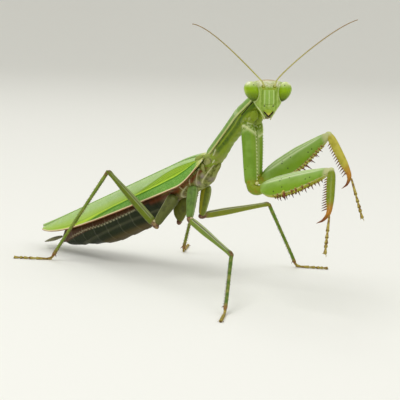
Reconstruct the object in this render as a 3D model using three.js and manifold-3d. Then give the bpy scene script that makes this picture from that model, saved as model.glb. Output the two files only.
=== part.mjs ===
// A praying mantis, an adult female, at life size: she stands on four feet with the body pitched up,
// the prothorax turned to her right, the head turned further, and both forelegs half raised.
// Millimetres and degrees. +X is her heading, +Y her left, +Z up, and the feet rest on z = 0.
import * as THREE from 'three';
import { mergeVertices } from 'three/addons/utils/BufferGeometryUtils.js';
import Module from 'manifold-3d';

const wasm = await Module();
wasm.setup();

// ---- driving dimensions ----
const gap = 0.2; // between neighbouring plates and segments
const skin = 0.45; // thickness of a wing
const layer = 0.65; // from one wing of the folded stack to the next

// trunk: the wing-bearing thorax and the abdomen lie on one axis behind the waist point
const waist = new THREE.Vector3(0, 0, 29);
const trunkPitch = 23.7;
const thoraxFront = 2.7;
const thoraxBack = -13.6;
const abdomenBack = -54.5;
const wingBase = 1.6;
const wingTip = -61.5;
const wingCrest = 1.3; // the upper tegmen's height above the trunk's axis
const wingBaseDrop = 1.1; // how much lower the wings start at their base

// prothorax: its own axis rises from the back of the pronotum
const pronotumRoot = new THREE.Vector3(2, 0, 30.2);
const pronotumLength = 21.8;
const pronotumPitch = 40.2;
const pronotumYaw = -12.5;
const pronotumRoll = 12;

// head
const headCentre = new THREE.Vector3(24.1, -5.5, 43.85);
const headYaw = -36;
const headPitch = 8;
const headRoll = 0.3;
const eyeCentre = [0.25, 3.48, 1.35]; // forward, sideways, up
const eyeRadii = [1.95, 1.5, 2.2];
const eyeLean = 20;

// forelegs
const foreCoxaLength = 16;
const foreFemurLength = 21.3;
const foreTibiaLength = 11;
const foreTarsusLength = 10.5;
const foreBase = [17.1, 1.5, -3.7]; // in the prothorax: forward, sideways, up
const trochanterRadius = 1.15;

// walking legs
const midCoxaLength = 7.9;
const midFemurLength = 19.2;
const midTibiaLength = 17.4;
const hindCoxaLength = 8.2;
const hindFemurLength = 20;
const hindTibiaLength = 27;
const midBase = [-3.6, 2.3, -6.3]; // in the trunk
const hindBase = [-9.8, 2.9, -6.3];
const ankleHeight = 0.95;
const tarsusHeight = 0.75;
const midTarsusLength = 8;
const hindTarsusLength = 9.5;

// directions are [azimuth, elevation] from +X
const foreAim = {
  right: { coxa: [-31.3, -59.5], femur: [1.2, 16.5], tibia: [-49.7, -44.6], tarsus: [-53.7, -38.3] },
  left: { coxa: [127, -64], femur: [9.2, 32.8], tibia: [-6.3, -48.8], tarsus: [-27.9, -47.9] },
};
// foot is the ankle's place on the floor; lean turns the knee out of the upright plane of the leg
const walk = {
  mid_right: { coxa: [-52, -61], foot: [29.1, -21.5], lean: -63, toe: -52 },
  mid_left: { coxa: [158, -71], foot: [2.4, 30.4], lean: 0, toe: 35 },
  hind_right: { coxa: [-101.8, -57.5], foot: [-39, -11.5], lean: 8, toe: -140 },
  hind_left: { coxa: [178, -62], foot: [-28.2, 22.3], lean: 16, toe: 128 },
};

// ---- materials ----
function finish(color, roughness = 0.55) {
  return new THREE.MeshStandardMaterial({ color, roughness, metalness: 0 });
}
const leafGreen = finish(0x7fa63c);
const paleGreen = finish(0x9dbb6a);
const wingGreen = finish(0x86b552, 0.5);
const wingFan = finish(0x8a6f4a, 0.5);
const oliveBrown = finish(0x6e6a3a);
const eyeGreen = finish(0xa9bd55, 0.2);
const amber = finish(0xb08a3e, 0.5);
const tarsusBrown = finish(0x8f7440);

// ---- geometry helpers ----
const rad = THREE.MathUtils.degToRad;

function aim([azimuth, elevation]) {
  const a = rad(azimuth);
  const e = rad(elevation);
  return new THREE.Vector3(Math.cos(a) * Math.cos(e), Math.sin(a) * Math.cos(e), Math.sin(e));
}

// turns x to the heading and z as near as it can to the given up
function turn(heading, up) {
  const x = heading.clone().normalize();
  const y = up.clone().cross(x).normalize();
  const z = x.clone().cross(y);
  return new THREE.Quaternion().setFromRotationMatrix(new THREE.Matrix4().makeBasis(x, y, z));
}

// a closed body through rings of points, each end closed with a fan
function skinRings(rings) {
  const sides = rings[0].length;
  const points = rings.flat();
  const index = [];
  for (let r = 0; r + 1 < rings.length; r++) {
    for (let i = 0; i < sides; i++) {
      const a = r * sides + i;
      const b = r * sides + ((i + 1) % sides);
      index.push(a, b, a + sides, b, b + sides, a + sides);
    }
  }
  const ends = [[rings[0], 0, true], [rings.at(-1), (rings.length - 1) * sides, false]];
  for (const [ring, first, atStart] of ends) {
    const middle = points.length;
    points.push(ring.reduce((sum, p) => sum.add(p), new THREE.Vector3()).divideScalar(sides));
    for (let i = 0; i < sides; i++) {
      const a = first + i;
      const b = first + ((i + 1) % sides);
      if (atStart) index.push(middle, b, a);
      else index.push(middle, a, b);
    }
  }
  const geometry = new THREE.BufferGeometry().setFromPoints(points);
  geometry.setIndex(index);
  return geometry;
}

// a body along x: each station is [x, half width, top, bottom], and its section is a rounded oval
function loft(stations, sides = 10, squareness = 2) {
  const rings = stations.map(([x, halfWidth, top, bottom]) => {
    const ring = [];
    for (let i = 0; i < sides; i++) {
      const a = (2 * Math.PI * (i + 0.5)) / sides;
      const y = Math.sign(Math.cos(a)) * Math.abs(Math.cos(a)) ** (2 / squareness);
      const z = Math.sign(Math.sin(a)) * Math.abs(Math.sin(a)) ** (2 / squareness);
      ring.push(new THREE.Vector3(x, halfWidth * y, (top + bottom) / 2 + ((top - bottom) / 2) * z));
    }
    return ring;
  });
  return skinRings(stations.at(-1)[0] > stations[0][0] ? rings : rings.reverse());
}

// a round limb segment of one length: shape is a list of [share of length, half width, top, bottom]
function limb(length, shape, sides = 8) {
  const rows = shape.map(([share, halfWidth, top, bottom]) => [share * length, halfWidth, top, bottom]);
  return loft(rows, sides);
}

// a tube along a curve whose radius follows a function of the share of its length
function taperedTube(curve, radiusAt, steps, sides) {
  const frames = curve.computeFrenetFrames(steps, false);
  const rings = [];
  for (let k = 0; k <= steps; k++) {
    const centre = curve.getPointAt(k / steps);
    const radius = radiusAt(k / steps);
    const ring = [];
    for (let i = 0; i < sides; i++) {
      const a = (2 * Math.PI * i) / sides;
      const out = frames.normals[k].clone().multiplyScalar(Math.cos(a));
      out.addScaledVector(frames.binormals[k], Math.sin(a));
      ring.push(centre.clone().addScaledVector(out, radius));
    }
    rings.push(ring);
  }
  return skinRings(rings);
}

function toSolid(source) {
  let geometry = source.clone();
  for (const name of ['normal', 'uv']) geometry.deleteAttribute(name);
  geometry = mergeVertices(geometry, 1e-4);
  const vertProperties = new Float32Array(geometry.attributes.position.array);
  const triVerts = new Uint32Array(geometry.index.array);
  return new wasm.Manifold(new wasm.Mesh({ numProp: 3, vertProperties, triVerts }));
}

function toGeometry(solid) {
  const mesh = solid.getMesh();
  const geometry = new THREE.BufferGeometry();
  geometry.setAttribute('position', new THREE.BufferAttribute(new Float32Array(mesh.vertProperties), 3));
  geometry.setIndex(new THREE.BufferAttribute(new Uint32Array(mesh.triVerts), 1));
  return geometry;
}

// a spine: a five-sided cone that stands at a point, leaning along a direction
function spine(foot, direction, length, radius) {
  const cone = new THREE.ConeGeometry(radius, length, 5);
  cone.translate(0, length / 2 - radius, 0);
  const up = new THREE.Vector3(0, 1, 0);
  cone.applyQuaternion(new THREE.Quaternion().setFromUnitVectors(up, direction.clone().normalize()));
  return cone.translate(foot.x, foot.y, foot.z);
}

function joined(base, pieces) {
  return toGeometry(pieces.reduce((solid, piece) => solid.add(toSolid(piece)), toSolid(base)));
}

function addMesh(parent, name, geometry, material) {
  geometry.computeVertexNormals();
  const mesh = new THREE.Mesh(geometry, material);
  mesh.name = name;
  parent.add(mesh);
  return mesh;
}

// ---- the frames of the body's three regions ----
const model = new THREE.Group();

function region(origin, yaw, pitch, roll = 0) {
  const group = new THREE.Group();
  group.position.copy(origin);
  group.rotation.set(rad(roll), rad(-pitch), rad(yaw), 'ZYX');
  model.add(group);
  group.updateMatrixWorld(true);
  return group;
}
const trunk = region(waist, 0, trunkPitch);
const prothorax = region(pronotumRoot, pronotumYaw, pronotumPitch, pronotumRoll);
const head = region(headCentre, headYaw, headPitch, headRoll);
const sides = [['right', -1], ['left', 1]];

// ---- head: capsule, eyes, mouthparts, antennae, neck ----
function eyeGeometry(side, swell) {
  const eye = new THREE.SphereGeometry(1, 14, 10);
  eye.scale(eyeRadii[0] + swell, eyeRadii[1] + swell, eyeRadii[2] + swell);
  eye.rotateX(rad(-eyeLean * side));
  return eye.translate(eyeCentre[0], side * eyeCentre[1], eyeCentre[2]);
}

function buildHead() {
  // from the mouth up to the vertex; each station is [height, half width, front, back]
  const levels = [
    [-2.5, 2.05, 1.4, -1.4], [-1.2, 2.85, 1.65, -1.7], [0, 3.15, 1.75, -1.95], [1.7, 3.3, 1.7, -2.05],
    [2.9, 3.3, 1.45, -1.85], [3.45, 2.9, 1.0, -1.4], [3.85, 1.7, 0.45, -0.8],
  ];
  // the loft runs along x, so the capsule is made lying down and stood up
  let capsule = loft(levels.map(([z, w, front, back]) => [z, w, -back, -front]), 14, 2.4);
  capsule.rotateY(-Math.PI / 2);
  let solid = toSolid(capsule);
  for (const [, side] of sides) solid = solid.subtract(toSolid(eyeGeometry(side, gap)));
  addMesh(head, 'head', toGeometry(solid), paleGreen);
  for (const [name, side] of sides) addMesh(head, `eye_${name}`, eyeGeometry(side, 0), eyeGreen);

  const mouth = loft([[-4.45, 0.5, 0.6, -0.75], [-3.8, 1.2, 0.95, -1.15], [-2.7, 1.9, 1.3, -1.35]].map(
    ([z, w, back, front]) => [z, w, back, front]), 12, 2.4);
  mouth.rotateY(-Math.PI / 2);
  addMesh(head, 'mouthparts', mouth, amber);
}

function buildAntennae() {
  const routes = {
    right: [[1.9, -1.45, 3.3], [3.4, -5.24, 6.59], [8.2, -13.66, 14.11], [10.6, -17.79, 14.15]],
    left: [[1.9, 1.5, 3.3], [2.6, 0.7, 3.75], [7.0, 11.98, 14.46], [10.3, 16.9, 15.79]],
  };
  for (const [name, side] of sides) {
    const lash = new THREE.CubicBezierCurve3(...routes[name].map((p) => new THREE.Vector3(...p)));
    const socket = new THREE.Vector3(2.0, side * 1.25, 2.45);
    const curve = new THREE.CatmullRomCurve3([socket, ...lash.getPoints(14)]);
    const radiusAt = (share) => 0.36 - 0.12 * Math.min(1, share * 6);
    addMesh(head, `antenna_${name}`, taperedTube(curve, radiusAt, 22, 6), amber);
  }
}

function buildNeck() {
  const back = prothorax.localToWorld(new THREE.Vector3(pronotumLength + 0.35, 0, -1.9));
  const front = head.localToWorld(new THREE.Vector3(-2.5, 0, 0.6));
  const along = front.clone().sub(back);
  const neck = addMesh(model, 'neck', limb(along.length(), [
    [0, 1.1, 1.1, -1.1], [0.35, 1.3, 1.3, -1.3], [0.7, 1.2, 1.2, -1.2], [1, 0.9, 0.9, -0.9]], 10), paleGreen);
  neck.position.copy(back);
  neck.quaternion.copy(turn(along, new THREE.Vector3(0, 0, 1)));
}

// ---- prothorax: the long shield above and the sternum below ----
function buildProthorax() {
  const share = (x) => x * pronotumLength;
  addMesh(prothorax, 'pronotum', loft([
    [share(0), 1.45, -0.1, -1.25], [share(0.06), 1.7, 0.1, -1.4], [share(0.35), 1.55, 0, -1.5],
    [share(0.62), 1.8, 0.05, -1.5], [share(0.76), 2.45, 0.1, -1.65], [share(0.86), 2.2, 0.1, -1.65],
    [share(0.96), 1.8, 0, -1.5], [share(1), 1.3, -0.3, -1.2]], 12, 2.3), paleGreen);
  addMesh(prothorax, 'prosternum', loft([
    [share(0.03), 1.35, -1.65, -3.9], [share(0.35), 1.3, -1.75, -3.5], [share(0.6), 1.5, -1.75, -3.5],
    [share(0.76), 1.9, -1.95, -2.9], [share(0.9), 1.5, -1.9, -2.7], [share(0.98), 1.2, -1.6, -2.4]],
  12), leafGreen);
}

// ---- trunk: winged thorax, abdomen, cerci ----
function buildTrunk() {
  addMesh(trunk, 'pterothorax', loft([
    [thoraxFront, 1.2, -2.6, -4.8], [1.6, 1.6, -2.2, -5.6], [-0.6, 2.3, -2.0, -6.8],
    [-4, 3.0, -1.7, -7.2], [-8, 3.4, -1.8, -7.0], [thoraxBack + 1.6, 3.4, -2.1, -6.8],
    [thoraxBack, 3.0, -2.4, -6.5]], 14, 2.2), oliveBrown);
  const start = thoraxBack - gap;
  const length = start - abdomenBack;
  const rows = [
    [0, 3.1, -2.3, -7.2], [0.08, 3.7, -2.1, -9.0], [0.3, 4.0, -2, -10.5], [0.5, 4.0, -2, -10.5],
    [0.68, 3.8, -2, -9.2], [0.82, 3.2, -2.2, -8.0], [0.93, 2.1, -2.6, -6.7], [1, 0.9, -3.6, -5.4]];
  addMesh(trunk, 'abdomen', loft(rows.map(([s, w, top, bottom]) => [start - s * length, w, top, bottom]),
    14, 2.3), oliveBrown);
  for (const [name, side] of sides) {
    const cercus = addMesh(trunk, `cercus_${name}`, limb(4.6, [
      [0, 0.35, 0.35, -0.35], [0.3, 0.45, 0.45, -0.45], [0.75, 0.36, 0.36, -0.36], [1, 0.15, 0.15, -0.15]]),
    leafGreen);
    cercus.position.set(abdomenBack - 0.1, side * 1.3, -4.0);
    cercus.quaternion.copy(turn(new THREE.Vector3(-1, side * 0.35, 0.05), new THREE.Vector3(0, 0, 1)));
  }
}

// ---- wings: each is a curved sheet, flat over the back and folded down along the side ----
// the section runs from the inner edge over the back and down to the costal edge,
// as [share of the half width, share of the droop]
const wingSection = [
  [0, 0], [0.18, 0], [0.36, 0.04], [0.6, 0.16], [0.8, 0.4], [0.9, 0.6], [0.97, 0.8], [1, 1],
];

function wingHalfWidth(x) {
  const fromBase = THREE.MathUtils.clamp((wingBase - x) / 14, 0, 1);
  const atBase = 2.6 + 2.4 * Math.sin((fromBase * Math.PI) / 2);
  const pastMiddle = THREE.MathUtils.clamp((-38 - x) / (-38 - wingTip), 0, 1);
  return atBase * Math.sqrt(Math.max(0.012, 1 - pastMiddle ** 2.4));
}

function wingDroop(x) {
  const fromBase = THREE.MathUtils.clamp((wingBase - x) / 9, 0, 1);
  const toTip = THREE.MathUtils.clamp((-12 - x) / (-12 - wingTip), 0, 1);
  return (1.2 + 4.95 * Math.sin((fromBase * Math.PI) / 2)) * (1 - 0.22 * toTip - 0.7 * toTip ** 5);
}

const wingStations = Array.from({ length: 17 }, (_, k) => (
  wingBase + (wingTip - wingBase) * (1 - Math.cos((Math.PI * k) / 16)) / 2));

// depth is how far the sheet lies under the outer surface of its own side
function wing(side, { crest, depth, stations, section }) {
  const rings = stations.map((x) => {
    const halfWidth = wingHalfWidth(x);
    const start = -Math.min(0.65, halfWidth * 0.45);
    const top = crest - wingBaseDrop * Math.max(0, 1 - (wingBase - x) / 9) ** 2;
    const line = section.map(([across, down]) => new THREE.Vector3(
      x, start + (halfWidth - start) * across, top - wingDroop(x) * down));
    const inward = line.map((point, i) => {
      const before = line[Math.max(0, i - 1)];
      const after = line[Math.min(line.length - 1, i + 1)];
      const along = after.clone().sub(before).normalize();
      return new THREE.Vector3(0, along.z, -along.y);
    });
    const outer = line.map((point, i) => point.clone().addScaledVector(inward[i], depth));
    const under = line.map((point, i) => point.clone().addScaledVector(inward[i], depth + skin));
    const ring = [...outer, ...under.reverse()];
    for (const point of ring) point.y *= side;
    return side > 0 ? ring : ring.reverse();
  });
  return skinRings(rings);
}

function buildWings() {
  const cover = { stations: wingStations, section: wingSection, depth: 0 };
  const fan = { stations: wingStations.slice(5, -2), section: wingSection.slice(2, 5) };
  addMesh(trunk, 'tegmen_right', wing(-1, { ...cover, crest: wingCrest - layer }), wingGreen);
  addMesh(trunk, 'tegmen_left', wing(1, { ...cover, crest: wingCrest }), wingGreen);
  addMesh(trunk, 'hindwing_right', wing(-1, { ...fan, crest: wingCrest - layer, depth: layer }), wingFan);
  addMesh(trunk, 'hindwing_left', wing(1, { ...fan, crest: wingCrest, depth: 2 * layer }), wingFan);
}

// ---- forelegs ----
function placeSegment(name, geometry, material, from, direction, up) {
  const mesh = addMesh(model, name, geometry, material);
  mesh.position.copy(from);
  mesh.quaternion.copy(turn(direction, up));
  return mesh;
}

function foreFemur(side) {
  const clear = (trochanterRadius + gap + 0.35) / foreFemurLength;
  const body = limb(foreFemurLength, [
    [clear, 0.6, 0.7, -0.6], [0.13, 0.75, 1.3, -1.5], [0.22, 0.92, 1.65, -2.5], [0.34, 1.0, 1.88, -2.95],
    [0.54, 0.98, 1.92, -2.75], [0.7, 0.88, 1.65, -2.0], [0.85, 0.75, 1.3, -1.25], [0.94, 0.7, 1.1, -0.8],
    [0.98, 0.55, 0.95, -0.1], [1, 0.35, 0.75, 0.2]], 10);
  const spines = [];
  // the outer row has four long spines, the inner row alternates long and short
  const outer = [0.32, 0.43, 0.55, 0.67];
  outer.forEach((share, i) => spines.push(spine(
    new THREE.Vector3(share * foreFemurLength, 0.35 * side, -2.75 + 1.5 * Math.max(0, share - 0.5) * 3),
    new THREE.Vector3(0.35, 0.35 * side, -1), 2.3 - 0.15 * i, 0.27)));
  for (let k = 0; k < 8; k++) {
    const share = 0.3 + 0.075 * k;
    spines.push(spine(
      new THREE.Vector3(share * foreFemurLength, -0.35 * side, -2.7 + 1.5 * Math.max(0, share - 0.5) * 3),
      new THREE.Vector3(0.3, -0.3 * side, -1), k % 2 ? 1.2 : 1.9, 0.25));
  }
  return joined(body, spines);
}

function foreTibia() {
  const route = [[1.2, 0], [4, 0.12], [foreTibiaLength - 1.2, 0], [foreTibiaLength - 0.1, -0.45],
    [foreTibiaLength + 0.6, -1.6], [foreTibiaLength + 0.7, -3.3]];
  const curve = new THREE.CatmullRomCurve3(route.map(([x, z]) => new THREE.Vector3(x, 0, z)));
  const radiusAt = (share) => Math.min(0.5 + 4 * share, 0.8 - 0.3 * share, 0.596 - 1.6 * (share - 0.68));
  const spines = [];
  for (let k = 0; k < 7; k++) {
    const x = 2.4 + 1.15 * k;
    for (const side of [-1, 1]) {
      spines.push(spine(new THREE.Vector3(x, side * 0.3, -0.35), new THREE.Vector3(0.45, side * 0.45, -1),
        1.05 + 0.07 * k, 0.22));
    }
  }
  return joined(taperedTube(curve, radiusAt, 14, 8), spines);
}

function foreTarsus() {
  return limb(foreTarsusLength, [
    [0.12, 0.28, 0.28, -0.28], [0.2, 0.36, 0.36, -0.36], [0.46, 0.3, 0.3, -0.3], [0.5, 0.38, 0.38, -0.38],
    [0.75, 0.3, 0.3, -0.3], [0.94, 0.36, 0.36, -0.36], [1, 0.2, 0.2, -0.2]], 6);
}

function buildForeleg(name, side) {
  const pose = foreAim[name];
  const base = prothorax.localToWorld(new THREE.Vector3(foreBase[0], side * foreBase[1], foreBase[2]));
  const along = Object.fromEntries(Object.entries(pose).map(([part, angles]) => [part, aim(angles)]));
  const hip = base.clone().addScaledVector(along.coxa, foreCoxaLength);
  const knee = hip.clone().addScaledVector(along.femur, foreFemurLength);
  const ankle = knee.clone().addScaledVector(along.tibia, foreTibiaLength);
  const back = along.tibia.clone().negate();
  const edge = new THREE.Vector3(1, side < 0 ? 0.5 : -0.9, 0);
  const coxaEnd = 1 - (trochanterRadius + gap + 0.12) / foreCoxaLength;

  placeSegment(`forecoxa_${name}`, limb(foreCoxaLength, [
    [0.02, 0.6, 0.6, -0.6], [0.07, 0.95, 1.2, -1.15], [0.16, 1.1, 1.5, -1.55], [0.45, 1.15, 1.2, -1.75],
    [0.7, 1.05, 0.85, -1.95], [0.86, 0.9, 0.6, -1.9], [coxaEnd, 0.75, 0.45, -1.35]], 10),
  leafGreen, base, along.coxa, edge);

  const trochanter = new THREE.SphereGeometry(trochanterRadius, 10, 8);
  trochanter.scale(1.25, 0.95, 1);
  placeSegment(`foretrochanter_${name}`, trochanter, amber, hip, along.femur, back);
  placeSegment(`forefemur_${name}`, foreFemur(side), leafGreen, hip, along.femur, back);
  // the claw curves towards the femur, so the tibia's underside looks back along it
  placeSegment(`foretibia_${name}`, foreTibia(), leafGreen, knee, along.tibia, along.femur);
  placeSegment(`foretarsus_${name}`, foreTarsus(), tarsusBrown, ankle, along.tarsus, along.femur);
}

// ---- walking legs ----
// the knee lies where the two lengths meet, turned by lean about the line from hip to ankle
function kneeBetween(hip, ankle, femur, tibia, lean) {
  const line = ankle.clone().sub(hip);
  const distance = line.length();
  line.normalize();
  const along = (femur ** 2 - tibia ** 2 + distance ** 2) / (2 * distance);
  const away = Math.sqrt(femur ** 2 - along ** 2);
  const up = new THREE.Vector3(0, 0, 1).addScaledVector(line, -line.z).normalize();
  const across = line.clone().cross(up);
  return hip.clone().addScaledVector(line, along)
    .addScaledVector(up, away * Math.cos(rad(lean)))
    .addScaledVector(across, away * Math.sin(rad(lean)));
}

// five short segments in line along the floor, flat underneath
function walkingTarsus(length) {
  const joints = [0, 0.42, 0.6, 0.74, 0.84, 1];
  const rings = [];
  const ringAt = (x, halfWidth, height) => [
    [-0.8, 0], [0.8, 0], [1, 0.35], [0.75, 0.8], [0, 1], [-0.75, 0.8], [-1, 0.35],
  ].map(([y, z]) => new THREE.Vector3(x, y * halfWidth, z * height));
  for (let k = 0; k + 1 < joints.length; k++) {
    rings.push(ringAt(joints[k] * length + 0.1, 0.3, tarsusHeight * 0.8));
    rings.push(ringAt(joints[k + 1] * length - 0.25, 0.4, tarsusHeight));
  }
  rings.push(ringAt(length, 0.25, tarsusHeight * 0.5));
  return skinRings(rings);
}

function buildWalkingLeg(name, side, sizes) {
  const pose = walk[name];
  const [x, y, z] = sizes.base;
  const base = trunk.localToWorld(new THREE.Vector3(x, side * y, z));
  const coxaAlong = aim(pose.coxa);
  const hip = base.clone().addScaledVector(coxaAlong, sizes.coxa);
  const ankle = new THREE.Vector3(...pose.foot, ankleHeight);
  const knee = kneeBetween(hip, ankle, sizes.femur, sizes.tibia, pose.lean);
  const femurAlong = knee.clone().sub(hip).normalize();
  const tibiaAlong = ankle.clone().sub(knee).normalize();
  const up = new THREE.Vector3(0, 0, 1);

  const { thick } = sizes;
  placeSegment(`${name}_coxa`, limb(sizes.coxa, sizes.coxaShape), paleGreen, base, coxaAlong,
    new THREE.Vector3(1, 0, 0));
  placeSegment(`${name}_femur`, limb(sizes.femur, [
    [0.044, 0.5, 0.5, -0.5], [0.09, 0.85 * thick, 0.95 * thick, -0.95 * thick],
    [0.3, 0.8 * thick, 0.95 * thick, -0.95 * thick], [0.7, 0.6 * thick, 0.7 * thick, -0.7 * thick],
    [0.92, 0.5, 0.52, -0.52], [0.97, 0.52, 0.6, -0.6], [0.985, 0.35, 0.4, -0.4]]),
  leafGreen, hip, femurAlong, up);
  placeSegment(`${name}_tibia`, limb(sizes.tibia, [
    [0.045, 0.3, 0.3, -0.3], [0.08, 0.45, 0.45, -0.45], [0.5, 0.38, 0.38, -0.38], [0.88, 0.4, 0.4, -0.4],
    [1 - 0.85 / sizes.tibia, 0.3, 0.3, -0.3]]), leafGreen, knee, tibiaAlong, femurAlong);
  placeSegment(`${name}_tarsus`, walkingTarsus(sizes.tarsus), tarsusBrown,
    new THREE.Vector3(...pose.foot, 0), aim([pose.toe, 0]), up);
}

// ---- assembly ----
const midCoxaShape = [
  [0.18, 0.95, 1.25, -1.1], [0.3, 1.0, 1.3, -1.2], [0.7, 0.85, 1.0, -0.95], [0.9, 0.75, 0.8, -0.8],
];
// the hind coxae are deep at the base: the right one swells forward and the left one back
const hindCoxaShape = {
  right: [[0.18, 1.0, 2.3, -0.95], [0.3, 1.0, 2.1, -0.95], [0.7, 0.9, 1.2, -0.95], [0.87, 0.7, 0.8, -0.75]],
  left: [[0.2, 0.9, 1.1, -1.5], [0.36, 1.0, 1.1, -2.1], [0.7, 0.9, 0.95, -1.5], [0.87, 0.7, 0.75, -0.8]],
};
buildHead();
buildAntennae();
buildNeck();
buildProthorax();
buildTrunk();
buildWings();
for (const [name, side] of sides) {
  buildForeleg(name, side);
  buildWalkingLeg(`mid_${name}`, side, {
    base: midBase, coxa: midCoxaLength, femur: midFemurLength, tibia: midTibiaLength,
    tarsus: midTarsusLength, thick: 0.85, coxaShape: midCoxaShape });
  buildWalkingLeg(`hind_${name}`, side, {
    base: hindBase, coxa: hindCoxaLength, femur: hindFemurLength, tibia: hindTibiaLength,
    tarsus: hindTarsusLength, thick: 1, coxaShape: hindCoxaShape[name] });
}

// the origin is on the floor, under the middle of the whole animal
model.updateMatrixWorld(true);
const box = new THREE.Box3().setFromObject(model, true);
const mantis = new THREE.Group();
mantis.add(model);
model.position.set(-(box.min.x + box.max.x) / 2, -(box.min.y + box.max.y) / 2, 0);

export default mantis;
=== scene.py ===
import math

import bpy
import numpy as np
from mathutils import Matrix, Vector


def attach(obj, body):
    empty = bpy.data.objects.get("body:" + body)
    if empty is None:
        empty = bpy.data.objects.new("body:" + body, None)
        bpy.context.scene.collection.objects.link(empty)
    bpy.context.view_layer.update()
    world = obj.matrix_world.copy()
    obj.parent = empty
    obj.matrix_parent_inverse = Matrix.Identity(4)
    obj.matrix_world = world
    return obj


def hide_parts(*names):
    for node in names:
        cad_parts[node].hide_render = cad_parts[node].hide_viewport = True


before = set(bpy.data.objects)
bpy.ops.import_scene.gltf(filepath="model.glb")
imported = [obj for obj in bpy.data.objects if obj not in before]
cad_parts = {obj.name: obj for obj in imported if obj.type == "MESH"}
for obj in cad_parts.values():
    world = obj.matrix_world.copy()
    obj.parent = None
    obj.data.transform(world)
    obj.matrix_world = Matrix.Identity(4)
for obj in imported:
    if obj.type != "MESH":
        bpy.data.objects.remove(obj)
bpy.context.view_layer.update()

# ---- stance ----
# An adult female praying mantis stands on four legs, the body pitched up from the waist, the long
# prothorax rising in front of it, and the head turned to her right. Lengths here are millimetres,
# and each region of the body has a frame of its own with x forward, y to her left and z up.
METRES = 0.001


def turned(origin, yaw=0.0, pitch=0.0, roll=0.0):
    turn = Matrix.Rotation(math.radians(yaw), 4, "Z")
    turn = turn @ Matrix.Rotation(math.radians(-pitch), 4, "Y")
    return Matrix.Translation(origin) @ turn @ Matrix.Rotation(math.radians(roll), 4, "X")


def heading(azimuth, elevation):
    a, e = math.radians(azimuth), math.radians(elevation)
    return Vector((math.cos(a) * math.cos(e), math.sin(a) * math.cos(e), math.sin(e)))


def middle_of(node):
    points = [v.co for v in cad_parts[node].data.vertices]
    return sum(points, Vector()) / len(points) / METRES


def lying(start, direction, up):
    """A frame at start with x along direction and z as near as it can be to up."""
    x = Vector(direction).normalized()
    y = Vector(up).cross(x).normalized()
    z = x.cross(y)
    return Matrix.Translation(start) @ Matrix((x, y, z)).transposed().to_4x4()


fore_base = (17.1, 1.5, -3.7)
fore_coxa_length = 16.0
fore_pose = {
    "right": {"coxa": (-31.3, -59.5), "femur": (1.2, 16.5), "tibia": (-49.7, -44.6),
              "tarsus": (-53.7, -38.3)},
    "left": {"coxa": (127, -64), "femur": (9.2, 32.8), "tibia": (-6.3, -48.8), "tarsus": (-27.9, -47.9)},
}
sides = {"right": -1, "left": 1}
waist_height = Vector((0, 0, 29))
pronotum_step = Vector((2, 0, 1.2))


def prothorax_over(floor_point):
    return turned(floor_point + waist_height + pronotum_step, yaw=-12.5, pitch=40.2, roll=12)


def fore_hip(prothorax_frame, side):
    base = prothorax_frame @ Vector((fore_base[0], sides[side] * fore_base[1], fore_base[2]))
    return base + heading(*fore_pose[side]["coxa"]) * fore_coxa_length


floor_point = middle_of("foretrochanter_right") - fore_hip(prothorax_over(Vector()), "right")
waist = floor_point + waist_height
trunk = turned(waist, pitch=23.7)
prothorax = prothorax_over(floor_point)
head = turned(waist + Vector((24.1, -5.5, 14.85)), yaw=-36, pitch=8, roll=0.3)

# ---- trunk skin ----
# The winged thorax and the abdomen are one soft-jointed tube of plates: side plates with pale
# ridges over the leg bases, then eight rings whose back edges overlap the next.
# Made as one lofted skin, so that no seam shows between the two.


def smooth_rows(rows, count):
    """Rows of sizes, run from one to the next on a curve that never overshoots them."""
    rows = np.array(rows, float)
    step = np.linalg.norm(np.diff(rows, axis=0), axis=1)
    at = np.concatenate([[0], np.cumsum(step)])
    rise = np.diff(rows, axis=0) / step[:, None]
    before, after = rise[:-1], rise[1:]
    level = before * after <= 0
    mean = 2 * before * after / np.where(level, 1, before + after)
    slope = np.vstack([rise[:1], np.where(level, 0, mean), rise[-1:]])
    t = np.linspace(0, at[-1], count)
    k = np.clip(np.searchsorted(at, t, side="right") - 1, 0, len(step) - 1)
    u = ((t - at[k]) / step[k])[:, None]
    h = step[k][:, None]
    return (
        (1 + 2 * u) * (1 - u) ** 2 * rows[k] + u * (1 - u) ** 2 * h * slope[k]
        + u**2 * (3 - 2 * u) * rows[k + 1] + u**2 * (u - 1) * h * slope[k + 1]
    )


def moved(place, points):
    m = np.array(place)
    return points @ m[:3, :3].T + m[:3, 3]


def skin(rings, place=Matrix(), about=None, material=0, mark=0.0):
    """A closed skin over rings of points. It keeps each point's place in its own frame, the share
    along the piece and the way round it, and a mark from 0 to 1 for what is raised or stained."""
    count, across = rings.shape[:2]
    own = rings.reshape(-1, 3)
    angle = np.arange(across) * 2 * math.pi / across
    if about is None:
        about = np.zeros((count, across, 3))
        about[..., 0] = np.linspace(0, 1, count)[:, None]
        about[..., 1], about[..., 2] = np.cos(angle), np.sin(angle)
    about = about.reshape(-1, 3)
    marks = np.broadcast_to(mark, (count, across)).reshape(-1)
    ends = np.array([rings[0].mean(0), rings[-1].mean(0)])
    own = np.vstack([own, ends])
    about = np.vstack([about, about[:across].mean(0), about[-across:].mean(0)])
    marks = np.append(marks, [marks[0], marks[-1]])
    a = (np.arange(count - 1)[:, None] * across + np.arange(across)).reshape(-1)
    b = (np.arange(count - 1)[:, None] * across + (np.arange(across) + 1) % across).reshape(-1)
    quads = np.stack([a, b, b + across, a + across], 1).tolist()
    first, last = np.arange(across), (count - 1) * across + np.arange(across)
    lid = np.stack([np.full(across, count * across), np.roll(first, -1), first], 1).tolist()
    base = np.stack([np.full(across, count * across + 1), last, np.roll(last, -1)], 1).tolist()
    return {"points": moved(place, own), "faces": quads + lid + base, "own": own, "about": about,
            "mark": marks, "material": material}


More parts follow.
